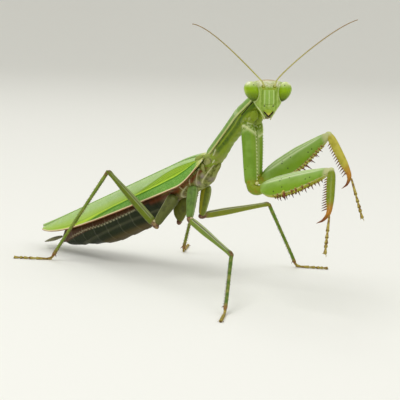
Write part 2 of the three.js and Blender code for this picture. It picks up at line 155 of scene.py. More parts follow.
def oval_rings(rows, count, across, power=2.0, under=None):
    """Rings round the x axis. Each row is [x, half width, top, bottom]; power 2 gives ellipses, and
    under is another power for the lower half."""
    rows = smooth_rows(rows, count)
    angle = np.arange(across) * 2 * math.pi / across
    c, s = np.cos(angle), np.sin(angle)
    powers = np.where(s < 0, under or power, power)
    y = np.sign(c) * np.abs(c) ** (2 / powers)
    z = np.sign(s) * np.abs(s) ** (2 / powers)
    rings = np.zeros((count, across, 3))
    rings[..., 0] = rows[:, :1]
    rings[..., 1] = rows[:, 1:2] * y
    rings[..., 2] = (rows[:, 2:3] + rows[:, 3:4]) / 2 + (rows[:, 2:3] - rows[:, 3:4]) / 2 * z
    return rings, angle


def raised(rings, angle, height):
    rings[..., 1] += height * np.cos(angle)
    rings[..., 2] += height * np.sin(angle)
    return rings


def ramp(value, start, end):
    """0 before start, 1 after end, and smooth between."""
    t = np.clip((value - start) / (end - start), 0, 1)
    return t * t * (3 - 2 * t)


def ridge(distance, width):
    return np.exp(-((distance / width) ** 2))


def line_distance(u, v, start, end):
    """How far the points (u, v) are from the stretch between two points."""
    du, dv = end[0] - start[0], end[1] - start[1]
    t = np.clip(((u - start[0]) * du + (v - start[1]) * dv) / (du * du + dv * dv), 0, 1)
    return np.hypot(u - start[0] - t * du, v - start[1] - t * dv)


def build(name, parts, materials, nodes=()):
    """Joins parts into one object, which rides with the animal and stands for the given CAD nodes."""
    points, faces, own, about, mark, material = [], [], [], [], [], []
    first = 0
    for part in parts:
        points.append(part["points"] * METRES)
        faces += [[i + first for i in face] for face in part["faces"]]
        own.append(part["own"])
        about.append(part["about"])
        mark.append(part["mark"])
        material += [part["material"]] * len(part["faces"])
        first += len(part["points"])
    mesh = bpy.data.meshes.new(name)
    mesh.from_pydata(np.vstack(points), [], faces)
    for label, values in (("own", own), ("about", about)):
        layer = mesh.attributes.new(label, "FLOAT_VECTOR", "POINT")
        layer.data.foreach_set("vector", np.vstack(values).astype(np.float32).reshape(-1))
    mesh.attributes.new("mark", "FLOAT", "POINT").data.foreach_set("value", np.concatenate(mark))
    mesh.polygons.foreach_set("use_smooth", [True] * len(faces))
    mesh.polygons.foreach_set("material_index", material)
    for item in materials:
        mesh.materials.append(item)
    piece = bpy.data.objects.new(name, mesh)
    bpy.context.scene.collection.objects.link(piece)
    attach(piece, "root")
    if nodes:
        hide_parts(*nodes)
    return piece


def linear(red, green, blue):
    """A colour named by its screen values from 0 to 255, as the shader's linear light."""
    light = [((c / 255 + 0.055) / 1.055) ** 2.4 if c > 10 else c / 3294 for c in (red, green, blue)]
    return (*light, 1)


def feed(tree, socket, value):
    if isinstance(value, bpy.types.NodeSocket):
        tree.links.new(value, socket)
    elif value is not None:
        socket.default_value = value


def maths(tree, operation, *values):
    node = tree.nodes.new("ShaderNodeMath")
    node.operation = operation
    for socket, value in zip(node.inputs, values):
        feed(tree, socket, value)
    return node.outputs[0]


def smooth_step(tree, value, start, end):
    node = tree.nodes.new("ShaderNodeMapRange")
    node.interpolation_type = "SMOOTHSTEP"
    feed(tree, node.inputs["Value"], value)
    feed(tree, node.inputs["From Min"], start)
    feed(tree, node.inputs["From Max"], end)
    return node.outputs["Result"]


def effect(name, inputs, outputs):
    """An empty shader group: inputs and outputs are (name, socket type, default)."""
    group = bpy.data.node_groups.new(name, "ShaderNodeTree")
    for direction, sockets in (("INPUT", inputs), ("OUTPUT", outputs)):
        for label, kind, default in sockets:
            socket = group.interface.new_socket(label, in_out=direction, socket_type="NodeSocket" + kind)
            if default is not None:
                socket.default_value = default
    return group, group.nodes.new("NodeGroupInput").outputs, group.nodes.new("NodeGroupOutput").inputs


# cloudy patches: noise over the piece's own place, cut between two levels
blotches, given, result = effect(
    "blotches",
    [("Place", "Vector", None), ("Scale", "Float", 1.0), ("From", "Float", 0.45), ("To", "Float", 0.6)],
    [("Mask", "Float", None)],
)
noise = blotches.nodes.new("ShaderNodeTexNoise")
noise.inputs["Detail"].default_value = 4
feed(blotches, noise.inputs["Vector"], given["Place"])
feed(blotches, noise.inputs["Scale"], given["Scale"])
feed(blotches, result["Mask"], smooth_step(blotches, noise.outputs["Fac"], given["From"], given["To"]))

# scattered round specks: one in each noise cell, kept in a share of the cells
specks, given, result = effect(
    "specks",
    [("Place", "Vector", None), ("Scale", "Float", 1.0), ("Size", "Float", 0.1), ("Share", "Float", 0.3)],
    [("Mask", "Float", None)],
)
cells = specks.nodes.new("ShaderNodeTexVoronoi")
feed(specks, cells.inputs["Vector"], given["Place"])
feed(specks, cells.inputs["Scale"], given["Scale"])
kept = maths(specks, "LESS_THAN", cells.outputs["Color"], given["Share"])
inner = maths(specks, "MULTIPLY", given["Size"], 0.6)
dot = maths(specks, "SUBTRACT", 1.0, smooth_step(specks, cells.outputs["Distance"], inner, given["Size"]))
feed(specks, result["Mask"], maths(specks, "MULTIPLY", kept, dot))

# a band between two values of anything, with soft edges
band, given, result = effect(
    "band",
    [("Value", "Float", 0.0), ("From", "Float", 0.0), ("To", "Float", 1.0), ("Soft", "Float", 0.05)],
    [("Mask", "Float", None)],
)
rising = smooth_step(band, given["Value"], maths(band, "SUBTRACT", given["From"], given["Soft"]),
                     maths(band, "ADD", given["From"], given["Soft"]))
falling = smooth_step(band, given["Value"], maths(band, "SUBTRACT", given["To"], given["Soft"]),
                      maths(band, "ADD", given["To"], given["Soft"]))
feed(band, result["Mask"], maths(band, "MULTIPLY", rising, maths(band, "SUBTRACT", 1.0, falling)))

# a lengthwise stripe on a limb, at an angle round it
stripe, given, result = effect(
    "stripe",
    [("About", "Vector", None), ("Angle", "Float", 0.0), ("Half Width", "Float", 10.0),
     ("Soft", "Float", 5.0)],
    [("Mask", "Float", None)],
)
parted = stripe.nodes.new("ShaderNodeSeparateXYZ")
feed(stripe, parted.inputs[0], given["About"])
degrees = maths(stripe, "DEGREES", maths(stripe, "ARCTAN2", parted.outputs["Z"], parted.outputs["Y"]))
apart = maths(stripe, "SUBTRACT", degrees, given["Angle"])
wrapped = maths(stripe, "ABSOLUTE", maths(stripe, "WRAP", apart, 180.0, -180.0))
outer = maths(stripe, "ADD", given["Half Width"], given["Soft"])
edge = smooth_step(stripe, wrapped, given["Half Width"], outer)
feed(stripe, result["Mask"], maths(stripe, "SUBTRACT", 1.0, edge))

# a round spot at a place on the piece
spot, given, result = effect(
    "spot",
    [("Place", "Vector", None), ("Centre", "Vector", None), ("Radius", "Float", 0.2), ("Soft", "Float", 0.1)],
    [("Mask", "Float", None)],
)
gone = spot.nodes.new("ShaderNodeVectorMath")
gone.operation = "DISTANCE"
feed(spot, gone.inputs[0], given["Place"])
feed(spot, gone.inputs[1], given["Centre"])
far = maths(spot, "ADD", given["Radius"], given["Soft"])
beyond = smooth_step(spot, gone.outputs["Value"], given["Radius"], far)
feed(spot, result["Mask"], maths(spot, "SUBTRACT", 1.0, beyond))


class Paint:
    """A cuticle finish: a Principled shader whose base colour is laid on in coats, each with a mask."""

    def __init__(self, name, base, roughness=0.4, glow=0.12, shine=0.05):
        self.material = bpy.data.materials.new(name)
        self.material.use_nodes = True
        self.tree = self.material.node_tree
        self.shader = self.tree.nodes["Principled BSDF"]
        self.shader.inputs["Roughness"].default_value = roughness
        self.shader.inputs["Specular IOR Level"].default_value = 0.15
        self.shader.inputs["Subsurface Weight"].default_value = glow
        self.shader.inputs["Subsurface Radius"].default_value = (0.6, 0.8, 0.2)
        self.shader.inputs["Subsurface Scale"].default_value = METRES
        self.shader.inputs["Coat Weight"].default_value = shine
        self.shader.inputs["Coat Roughness"].default_value = 0.25
        self.own = self.attribute("own", "Vector")
        self.about = self.attribute("about", "Vector")
        self.mark = self.attribute("mark", "Fac")
        self.colour = linear(*base)
        self.height = None

    def attribute(self, name, output):
        node = self.tree.nodes.new("ShaderNodeAttribute")
        node.attribute_name = name
        return node.outputs[output]

    def part(self, vector, axis):
        node = self.tree.nodes.new("ShaderNodeSeparateXYZ")
        feed(self.tree, node.inputs[0], vector)
        return node.outputs[axis]

    def stretched(self, x, y, z):
        node = self.tree.nodes.new("ShaderNodeVectorMath")
        node.operation = "MULTIPLY"
        feed(self.tree, node.inputs[0], self.own)
        node.inputs[1].default_value = (x, y, z)
        return node.outputs[0]

    def use(self, group, **values):
        node = self.tree.nodes.new("ShaderNodeGroup")
        node.node_tree = group
        for label, value in values.items():
            feed(self.tree, node.inputs[label.replace("_", " ")], value)
        return node.outputs["Mask"]

    def blotches(self, scale, start, end, place=None):
        return self.use(blotches, Place=place or self.own, Scale=scale, From=start, To=end)

    def specks(self, scale, size, share, place=None):
        return self.use(specks, Place=place or self.own, Scale=scale, Size=size, Share=share)

    def step(self, value, start, end):
        return smooth_step(self.tree, value, start, end)

    def band(self, value, start, end, soft):
        return self.use(band, Value=value, From=start, To=end, Soft=soft)

    def stripe(self, angle, half_width, soft):
        return self.use(stripe, About=self.about, Angle=angle, Half_Width=half_width, Soft=soft)

    def spot(self, centre, radius, soft):
        return self.use(spot, Place=self.own, Centre=centre, Radius=radius, Soft=soft)

    def both(self, *masks):
        made = masks[0]
        for mask in masks[1:]:
            made = maths(self.tree, "MULTIPLY", made, mask)
        return made

    def coat(self, mask, colour, strength=1.0):
        node = self.tree.nodes.new("ShaderNodeMix")
        node.data_type = "RGBA"
        feed(self.tree, node.inputs["Factor"], self.both(mask, strength) if strength != 1.0 else mask)
        feed(self.tree, node.inputs[6], self.colour)
        feed(self.tree, node.inputs[7], linear(*colour))
        self.colour = node.outputs[2]

    def raise_by(self, mask, millimetres):
        added = maths(self.tree, "MULTIPLY", mask, millimetres * METRES)
        self.height = added if self.height is None else maths(self.tree, "ADD", self.height, added)

    def grain(self, scale, millimetres):
        noise = self.tree.nodes.new("ShaderNodeTexNoise")
        noise.inputs["Scale"].default_value = scale
        noise.inputs["Detail"].default_value = 3
        feed(self.tree, noise.inputs["Vector"], self.own)
        self.raise_by(noise.outputs["Fac"], millimetres)

    def done(self):
        feed(self.tree, self.shader.inputs["Base Color"], self.colour)
        if self.height is not None:
            bump = self.tree.nodes.new("ShaderNodeBump")
            bump.inputs["Distance"].default_value = 1.0
            feed(self.tree, bump.inputs["Height"], self.height)
            feed(self.tree, self.shader.inputs["Normal"], bump.outputs["Normal"])
        return self.material


olive = Paint("olive_plates", (126, 130, 58), roughness=0.48)
along, up = (olive.part(olive.own, axis) for axis in "XZ")
behind = olive.step(along, -12.0, -15.5)
olive.coat(olive.blotches(0.5, 0.42, 0.62), (156, 164, 92), 0.8)
olive.coat(olive.blotches(0.9, 0.5, 0.58), (84, 92, 14), 0.85)
olive.coat(olive.both(olive.step(along, -4.0, -9.0), olive.step(up, -5.0, -6.0)),
           (96, 82, 24), 0.8)
# painted shade: the abdomen under the wings is coloured near-black green, its own dark olive deepened into
# shade
olive.coat(behind, (28, 38, 3))
olive.coat(olive.both(behind, olive.blotches(0.35, 0.4, 0.7)), (20, 30, 2), 0.8)
olive.coat(olive.both(behind, olive.step(up, -6.2, -5.8)), (74, 44, 14))
olive.coat(olive.both(behind, olive.step(up, -9.2, -10.2)), (84, 70, 26), 0.8)
olive.coat(olive.part(olive.about, "Y"), (112, 56, 22), 0.9)
olive.coat(olive.part(olive.about, "Z"), (146, 126, 136), 0.7)
olive.coat(olive.both(olive.step(along, -3.5, -2.0), olive.step(up, -1.9, -1.4)),
           (136, 158, 42), 0.75)
olive.coat(olive.mark, (218, 212, 168), 0.95)
olive.grain(3.0, 0.05)
olive.grain(12.0, 0.015)
olive_plates = olive.done()

trunk_rows = [
    [-54.6, 0.1, -4.3, -4.7], [-54.3, 0.7, -3.8, -5.2], [-51.6, 2.1, -2.6, -6.7], [-47.2, 3.2, -2.2, -8.0],
    [-41.5, 3.8, -2.0, -9.2], [-34.1, 4.0, -2.0, -10.5], [-26.0, 4.0, -2.0, -10.5], [-17.0, 3.6, -2.1, -9.0],
    [-13.7, 3.3, -2.4, -7.6], [-12.0, 3.4, -2.1, -7.2], [-8.0, 3.4, -1.8, -7.2], [-4.0, 3.0, -1.7, -7.2],
    [-0.6, 2.3, -2.0, -6.8], [1.6, 1.6, -2.2, -5.6], [3.2, 1.0, -2.5, -4.7], [4.4, 0.4, -3.0, -3.9],
]
trunk_count = 440
rings, angle = oval_rings(trunk_rows, trunk_count, 120, power=2.3)
x, y, z = rings[..., 0], rings[..., 1], rings[..., 2]
segment_length = 4.6
in_abdomen = ramp(x, -14.5, -16.5)
plate_share = np.mod(-15.6 - x, segment_length) / segment_length
plate_step = 0.2 * plate_share**2 * (1 - ramp(plate_share, 0.93, 1.0))
side_fold = ridge(z + 8.3 - 0.35 * ridge(x + 30, 12), 0.28)
pale_edge = in_abdomen * ramp(plate_share, 0.84, 0.92) * (1 - ramp(plate_share, 0.95, 1.0))
lift = in_abdomen * (plate_step - 0.25 * side_fold)
pleural_lines = [
    ((4.3, -2.8), (1.6, -4.5)), ((1.6, -4.5), (-0.9, -6.2)), ((-5.0, -5.8), (-10.8, -7.7)),
    ((-0.4, -3.0), (-2.4, -6.4)), ((-7.4, -3.0), (-6.4, -6.4)), ((-3.4, -4.6), (-4.4, -6.8)),
]
lines = sum(ridge(line_distance(x, z, *line), 0.11) for line in pleural_lines)
lines = np.clip(lines, 0, 1) * (1 - in_abdomen)
hollow_lines = [((a[0] + 0.7, a[1]), (b[0] + 0.7, b[1])) for a, b in pleural_lines]
hollows = sum(ridge(line_distance(x, z, *line), 0.35) for line in hollow_lines)
lift += 0.24 * lines - 0.26 * np.clip(hollows, 0, 1) * (1 - in_abdomen)
belly_keel = ridge(y, 0.5) * (z < -4) * 0.12
raised(rings, angle, lift + belly_keel)
crenate = 0.5 + 0.5 * np.sin(x * 5.3)
tan_height = 6.05 - 0.6 * ramp(x, -34, -42)
tan_line = in_abdomen * ridge(z + tan_height + 0.22 * crenate, 0.13)
tan_line = tan_line * ramp(x, -52, -44) * (1 - ramp(x, -24, -20))
trunk_mark = np.clip(0.7 * lines + 0.04 * pale_edge + 0.6 * tan_line + 0.08 * in_abdomen * side_fold, 0, 1)
rust_run = [((1.2, -3.1), (-3.1, -4.9)), ((-3.1, -4.9), (-8.2, -5.8)), ((-8.2, -5.8), (-17.0, -6.0))]
rust = np.clip(sum(ridge(line_distance(x, z, *line), 0.5) for line in rust_run), 0, 1)
lilac_spots = [(-0.1, -4.9, 0.6), (-1.9, -6.0, 0.7), (1.0, -6.4, 0.7), (-12.4, -8.0, 1.4), (-9.6, -4.4, 0.9)]
lilac = np.clip(sum(ridge(np.hypot(x - a, z - b), size) for a, b, size in lilac_spots), 0, 1)
along_trunk = np.linspace(0, 1, trunk_count)[:, None]
trunk_about = np.stack([along_trunk + 0 * y, rust * (1 - 0.6 * lilac), lilac], 2)
trunk_parts = [skin(rings, trunk, about=trunk_about, mark=trunk_mark)]


def tube(points, radii, across=10, material=0, mark=0.0):
    """A round tube along a run of points, with a radius at each. Its own x is the length so far."""
    points = np.array([tuple(p) for p in points], float)
    tangent = np.gradient(points, axis=0)
    tangent /= np.linalg.norm(tangent, axis=1)[:, None]
    # the normal starts square to a direction that no tube here sets out along
    normal = np.cross(tangent[0], (0.31, 0.52, 0.79))
    normal /= np.linalg.norm(normal)
    angle = np.arange(across) * 2 * math.pi / across
    far = np.concatenate([[0], np.cumsum(np.linalg.norm(np.diff(points, axis=0), axis=1))])
    rings, own = [], []
    for at, ahead, radius, distance in zip(points, tangent, radii, far):
        normal = normal - ahead * normal.dot(ahead)
        normal /= np.linalg.norm(normal)
        side = np.cross(ahead, normal)
        rings.append(at + radius * (np.cos(angle)[:, None] * normal + np.sin(angle)[:, None] * side))
        own.append(np.stack([np.full(across, distance), radius * np.cos(angle), radius * np.sin(angle)], 1))
    made = skin(np.array(rings), material=material, mark=mark)
    made["own"][:-2] = np.concatenate(own)
    made["own"][-2:] = [(0, 0, 0), (far[-1], 0, 0)]
    return made


def lump(place, centre, radii, across=20, count=16, material=0, mark=0.0):
    """A smooth round swelling."""
    turn = np.linspace(0, math.pi, count)[:, None]
    angle = np.arange(across) * 2 * math.pi / across
    rings = np.zeros((count, across, 3))
    rings[..., 0] = -np.cos(turn) * radii[0]
    rings[..., 1] = np.sin(turn) * np.cos(angle) * radii[1]
    rings[..., 2] = np.sin(turn) * np.sin(angle) * radii[2]
    return skin(rings + np.array(centre), place, material=material, mark=mark)


def plain(part, shift=(0, 0, 0)):
    """Clears the two stain values of a part made for the trunk, and shifts where its blotches fall."""
    part["about"][:, 1:] = 0
    part["own"] = part["own"] + np.array(shift)
    return part


def bent(start, middle, end, count):
    """Points on a smooth arc through a start and an end, drawn towards a middle point."""
    t = np.linspace(0, 1, count)[:, None]
    a, b, c = (np.array(tuple(p), float) for p in (start, middle, end))
    return (1 - t) ** 2 * a + 2 * t * (1 - t) * b + t**2 * c


# the soft waist between trunk and prothorax, folded like a bellows
waist_count = 60
waist_points = bent(trunk @ Vector((-2.5, 0, -3.7)), trunk @ Vector((2.4, 0, -2.6)),
                    prothorax @ Vector((4.5, 0, -2.2)), waist_count)
folds = 0.08 * np.sin(np.linspace(0, 9 * math.pi, waist_count))
trunk_parts.append(plain(tube(waist_points, np.linspace(2.0, 1.25, waist_count) + folds, across=40)))

# the pale plates between pronotum and wings, and the knobs the wings hinge on
for side in (-1, 1):
    for centre, radii, pale in [
        ((2.4, 0.8, -1.1), (1.9, 1.1, 0.85), 0.15), ((0.4, 2.0, -0.75), (1.3, 0.6, 0.55), 0.12),
        ((2.2, 1.6, -2.2), (1.5, 0.35, 0.8), 0.15), ((0.9, 2.1, -3.2), (0.5, 0.2, 1.0), 0.1),
    ]:
        trunk_parts.append(plain(lump(trunk, (centre[0], side * centre[1], centre[2]), radii, mark=pale)))

# egg-laying valves and the two feelers of the tail end
for side in (-1, 1):
    foot = trunk @ Vector((-54.2, side * 0.35, -5.0))
    tip = trunk @ Vector((-56.2, side * 0.15, -4.6))
    valve = tube(bent(foot, (foot + tip) / 2, tip, 8), np.linspace(0.5, 0.1, 8))
    trunk_parts.append(plain(valve, (-54, 0, -7)))
for name, side in sides.items():
    foot = trunk @ Vector((-54.0, side * 1.2, -4.0))
    tip = trunk @ Vector((-59.0, side * 2.85, -3.75))
    share = np.linspace(0, 1, 60)
    thickness = 0.46 * np.sin(math.pi * (0.2 + 0.72 * share)) * (1 + 0.12 * np.cos(share * 20 * math.pi))
    feeler = tube(bent(foot, (foot + tip) / 2, tip, 60), thickness, across=14, mark=0.3)
    trunk_parts.append(plain(feeler, (-54, 0, -7)))
build("trunk_skin", trunk_parts, [olive_plates],
      ["pterothorax", "abdomen", "cercus_left", "cercus_right"])

# ---- tegmina ----
# The leathery forewings lie folded over the back, the left one on top. Each is a thin curved sheet,
# level near the midline and folded down the side, with a thick bright vein above the green front
# field and a cream and brown rim. The veins are ridges of the sheet itself.
wing_base, wing_tip, wing_crest, wing_layer = 1.6, -61.5, 1.3, 0.65
section_shares = np.array([0, 0.18, 0.36, 0.6, 0.8, 0.9, 0.97, 1.0])
section_drops = np.array([0, 0, 0.04, 0.16, 0.4, 0.6, 0.8, 1.0])


def wing_half_width(x):
    from_base = np.clip((wing_base - x) / 14, 0, 1)
    past_middle = np.clip((-38 - x) / (-38 - wing_tip), 0, 1)
    return (2.6 + 2.4 * np.sin(from_base * math.pi / 2)) * np.sqrt(np.maximum(0.004, 1 - past_middle**2.4))


def wing_droop(x):
    from_base = np.clip((wing_base - x) / 9, 0, 1)
    to_tip = np.clip((-12 - x) / (-12 - wing_tip), 0, 1)
    return (1.2 + 4.95 * np.sin(from_base * math.pi / 2)) * (1 - 0.22 * to_tip - 0.7 * to_tip**5)


def wing_sheet(side, crest, depth, shares, x_from, x_to, thickness, lift=None, count=300, press=0.0):
    """A closed sheet, pressed at its inner edge onto the one below. Its own place is (x, mm across, mm
    from the rim), about is (share along, share across, share off the main vein), and its mark is the
    share off the upper line."""
    turn = np.linspace(0, math.pi, count)
    x = (x_from + (x_to - x_from) * (1 - np.cos(turn)) / 2)[:, None]
    half = wing_half_width(x)
    start = -np.minimum(0.65, half * 0.45)
    drop = smooth_rows(np.stack([section_shares, section_drops], 1), 400)
    down = np.interp(shares, drop[:, 0], drop[:, 1])[None, :]
    base_drop = 1.1 * np.maximum(0, 1 - (wing_base - x) / 9) ** 2
    y = start + (half - start) * shares[None, :]
    z = crest - base_drop - wing_droop(x) * down - press * (1 - ramp(shares[None, :], 0.0, 0.3))
    across = np.concatenate([np.zeros((count, 1)), np.cumsum(np.hypot(np.diff(y), np.diff(z)), 1)], 1)
    dy, dz = np.gradient(y, axis=1), np.gradient(z, axis=1)
    length = np.hypot(dy, dz)
    inward = np.stack([np.zeros_like(y), dz / length, -dy / length], 2)
    flat = np.stack([x + 0 * y, y, z], 2)
    height = 0 if lift is None else lift(x, shares[None, :], across)[..., None]
    top = flat + inward * (depth - height)
    under = flat + inward * (depth + thickness)
    rings = np.concatenate([top, under[:, ::-1]], 1)
    place = np.stack([x + 0 * y, across, across[:, -1:] - across], 2)
    along = (x - wing_base) / (wing_tip - wing_base) + 0 * y
    about = np.stack([along, 0 * y + shares, shares - main_vein(x)], 2)
    mark = shares - upper_line(x)
    about = np.concatenate([about, about[:, ::-1]], 1)
    place = np.concatenate([place, place[:, ::-1]], 1)
    mark = np.concatenate([mark, mark[:, ::-1]], 1)
    if side < 0:
        rings, about, place, mark = rings[:, ::-1], about[:, ::-1], place[:, ::-1], mark[:, ::-1]
        rings = rings * np.array([1, -1, 1])
    made = skin(rings, trunk, about=about, mark=mark)
    made["own"][:-2] = place.reshape(-1, 3)
    return made


def main_vein(x):
    """Share across of the thick vein above the front field; it runs out into the rim by the tip."""
    stations = [-45, -41, -37, -33, -28, -22, -16, -11, -7, -3, 0, 1.6]
    places = [1.0, 0.99, 0.973, 0.955, 0.936, 0.922, 0.912, 0.9, 0.884, 0.86, 0.825, 0.79]
    return np.interp(x, stations, places)


def upper_line(x):
    """Share across of the upper edge of the yellow zone, which joins the thick vein halfway along."""
    stations = [-24, -20, -16.6, -13.9, -11.6, -9.3, -6.5, -4, -1.3, 1.6]
    return np.interp(x, stations, [0.925, 0.89, 0.845, 0.795, 0.745, 0.7, 0.67, 0.68, 0.735, 0.785])


vein_places = [0.6, 0.49, 0.38, 0.27, 0.15]


def vein_lift(x, share, across):
    vein, upper = main_vein(x), upper_line(x)
    high = 0.13 * ridge(share - vein, 0.012) * ramp(x, -42, -36) + 0.05 * ridge(share - 1, 0.015)
    high = high - 0.05 * ridge(share - vein - 0.02, 0.01) * ramp(x, -40, -34)
    high = high + 0.05 * ridge(share - upper, 0.012) * ramp(x, -20, -14)
    for part in (0.33, 0.66):
        high = high + 0.03 * ridge(share - vein + part * (vein - upper), 0.01) * ramp(x, -19, -12)
    for at in vein_places:
        high = high + 0.025 * ramp(x, -56, -46) * ridge(share - at - 0.03 * ramp(x, -30, -58), 0.012)
    return high


wing = Paint("tegmen_green", (176, 206, 134), roughness=0.42, glow=0.2, shine=0.08)
along, rim_distance = wing.part(wing.own, "X"), wing.part(wing.own, "Z")
share, off_vein = wing.part(wing.about, "Y"), wing.part(wing.about, "Z")
off_upper = wing.mark
cross_cells = wing.tree.nodes.new("ShaderNodeTexVoronoi")
cross_cells.feature = "DISTANCE_TO_EDGE"
feed(wing.tree, cross_cells.inputs["Vector"], wing.stretched(1.3, 3.0, 0.0))
cross_cells.inputs["Scale"].default_value = 1.0
net = maths(wing.tree, "SUBTRACT", 1.0, wing.step(cross_cells.outputs["Distance"], 0.02, 0.12))
front_field = wing.step(off_vein, 0.0, 0.01)
wing.coat(wing.step(along, -30.0, -56.0), (168, 202, 104), 0.8)
wing.coat(wing.step(share, 0.25, 0.02), (150, 184, 104), 0.8)
wing.coat(wing.blotches(0.4, 0.4, 0.7), (190, 216, 158), 0.6)
wing.coat(net, (142, 178, 106), 0.4)
zone = wing.both(wing.step(off_upper, -0.02, 0.02), wing.step(along, -24.0, -18.0))
wing.coat(zone, (156, 188, 46))
zone_lines = wing.tree.nodes.new("ShaderNodeMath")
zone_lines.operation = "PINGPONG"
feed(wing.tree, zone_lines.inputs[0], off_upper)
zone_lines.inputs[1].default_value = 0.022
wing.coat(wing.both(zone, wing.step(zone_lines.outputs[0], 0.009, 0.018)), (112, 158, 20), 0.8)
wing.coat(wing.both(wing.band(off_upper, -0.02, 0.01, 0.012), wing.step(along, -23.0, -17.0)),
          (128, 160, 40), 0.8)
wing.coat(wing.both(wing.step(off_vein, -0.2, -0.03), wing.step(along, -16.0, -26.0)),
          (170, 204, 66), 0.8)
wing.coat(front_field, (115, 165, 62))
wing.coat(wing.both(front_field, wing.blotches(1.1, 0.42, 0.62)), (90, 153, 50), 0.75)
wing.coat(wing.both(front_field, wing.step(along, -28.0, -40.0)), (150, 188, 44), 0.8)
wing.coat(wing.both(front_field, net), (156, 208, 112), 0.4)
for at in vein_places:
    wing.coat(wing.band(share, at - 0.004, at + 0.004, 0.01), (192, 214, 132), 0.55)
wing.coat(wing.band(off_vein, 0.008, 0.022, 0.008), (72, 138, 10), 0.9)
wing.coat(wing.band(off_vein, -0.02, 0.004, 0.008), (184, 218, 52), 0.95)
wing.coat(wing.band(off_vein, -0.036, -0.024, 0.006), (138, 184, 36), 0.65)
wing.coat(wing.step(rim_distance, 0.5, 0.34), (230, 214, 168))
wing.coat(wing.step(rim_distance, 0.2, 0.1), (140, 88, 54))
wing.coat(wing.step(along, -1.0, 0.6), (206, 212, 120), 0.85)
wing.coat(wing.both(wing.step(along, 0.2, 1.2), wing.blotches(1.4, 0.45, 0.55)), (232, 236, 190), 0.8)
wing.raise_by(net, 0.02)
wing.grain(6.0, 0.015)
tegmen_green = wing.done()

fine_shares = np.linspace(0, 1, 150) ** 0.8
tegmina = {"right": wing_crest - wing_layer, "left": wing_crest}
for name, crest in tegmina.items():
    press = 0.44 if name == "left" else 0.0
    sheet = wing_sheet(sides[name], crest, 0.06, fine_shares, wing_base, wing_tip, 0.22, vein_lift,
                       press=press)
    build(f"forewing_{name}", [sheet], [tegmen_green], [f"tegmen_{name}"])

# ---- hindwings ----
# The flying wings lie under the tegmina as smoky brown fans, each pleated lengthwise.
# A pleat is a fold of the sheet, so the sheet itself waves from side to side.


def pleats(x, share, across):
    return 0.08 * np.sin(across * 2 * math.pi / 0.55)


smoky = Paint("hindwing_brown", (126, 96, 62), roughness=0.45, glow=0.1)
smoky.coat(smoky.blotches(0.8, 0.4, 0.65), (92, 66, 44), 0.8)
smoky.coat(smoky.step(smoky.part(smoky.own, "X"), -50.0, -58.0), (142, 150, 82), 0.8)
smoky.grain(9.0, 0.02)
hindwing_brown = smoky.done()
fan_shares = np.linspace(0.36, 0.8, 60)
for name, depth in (("right", wing_layer + 0.05), ("left", 2 * wing_layer + 0.05)):
    sheet = wing_sheet(sides[name], tegmina[name], depth, fan_shares, -12.4, -58.9, 0.25, pleats, count=160)
    build(f"fan_{name}", [sheet], [hindwing_brown], [f"hindwing_{name}"])

# ---- prothorax and neck skin ----
# Under the long shield the prothorax is a soft green tube, swollen where the forelegs hang from it,
# and the wrinkled neck runs on from it into the head. One skin covers tube, sockets and neck.
spring_green = Paint("prothorax_green", (88, 112, 0), roughness=0.42, glow=0.18)
along, up = (spring_green.part(spring_green.own, axis) for axis in "XZ")
spring_green.coat(spring_green.blotches(0.6, 0.42, 0.6), (74, 104, 0), 0.85)
spring_green.coat(spring_green.both(spring_green.step(along, 12.0, 6.0),
                                    spring_green.blotches(1.2, 0.48, 0.56)), (50, 80, 0), 0.8)
spring_green.coat(spring_green.step(up, -2.6, -3.3), (138, 158, 40), 0.85)
spring_green.coat(spring_green.both(spring_green.step(along, 5.0, 1.8),
                                    spring_green.blotches(0.8, 0.36, 0.56)), (142, 146, 74), 0.9)
spring_green.coat(spring_green.both(spring_green.band(up, -2.1, -1.75, 0.12),
                                    spring_green.step(along, 3.0, 6.0)), (146, 164, 20), 0.6)
spring_green.coat(spring_green.mark, (222, 226, 184), 0.9)
# painted shadow: the crease under the shield margin by the head is coloured near black
spring_green.coat(spring_green.step(spring_green.part(spring_green.about, "Z"), 0.8, 1.8), (20, 24, 4))
spring_green.grain(4.0, 0.04)
spring_green.grain(14.0, 0.012)
prothorax_green = spring_green.done()

sternum_rows = [
    [-4.0, 0.7, -1.9, -3.2], [-2.4, 1.1, -1.4, -3.8], [0.2, 1.52, -0.7, -4.1], [2.0, 1.56, -0.5, -4.1],
    [4.5, 1.53, -0.35, -3.85], [7.6, 1.5, -0.3, -3.5], [13.1, 1.72, -0.25, -3.6], [16.6, 2.28, -0.4, -3.5],
    [19.6, 2.0, -0.7, -3.35], [21.2, 1.6, -0.8, -3.1], [22.2, 0.9, -1.5, -2.7],
]
sternum_count = 260
rings, angle = oval_rings(sternum_rows, sternum_count, 96, power=2.6)
x, y, z = rings[..., 0], rings[..., 1], rings[..., 2]
welts = [((1.4, -3.2), (-3.6, -3.5)), ((3.6, -1.9), (0.4, -2.7))]
lines = np.clip(sum(ridge(line_distance(x, z, *line), 0.15) for line in welts), 0, 1)
# the crease under the shield margin by the head: pressed in, and its about value carries the painted shadow
# laid on it
shaded_crease = ridge(line_distance(x, z, (17.4, -2.05), (21.9, -1.85)), 0.13)
wrinkles = 0.03 * np.sin(x * 3.1) * ramp(-z, 2.2, 3.2)
raised(rings, angle, 0.2 * lines - 0.1 * shaded_crease + wrinkles)
along_sternum = np.linspace(0, 1, sternum_count)[:, None]
prothorax_about = np.stack([along_sternum + 0 * y, 0 * y, 3 * shaded_crease], 2)
prothorax_parts = [skin(rings, prothorax, about=prothorax_about, mark=0.8 * lines)]

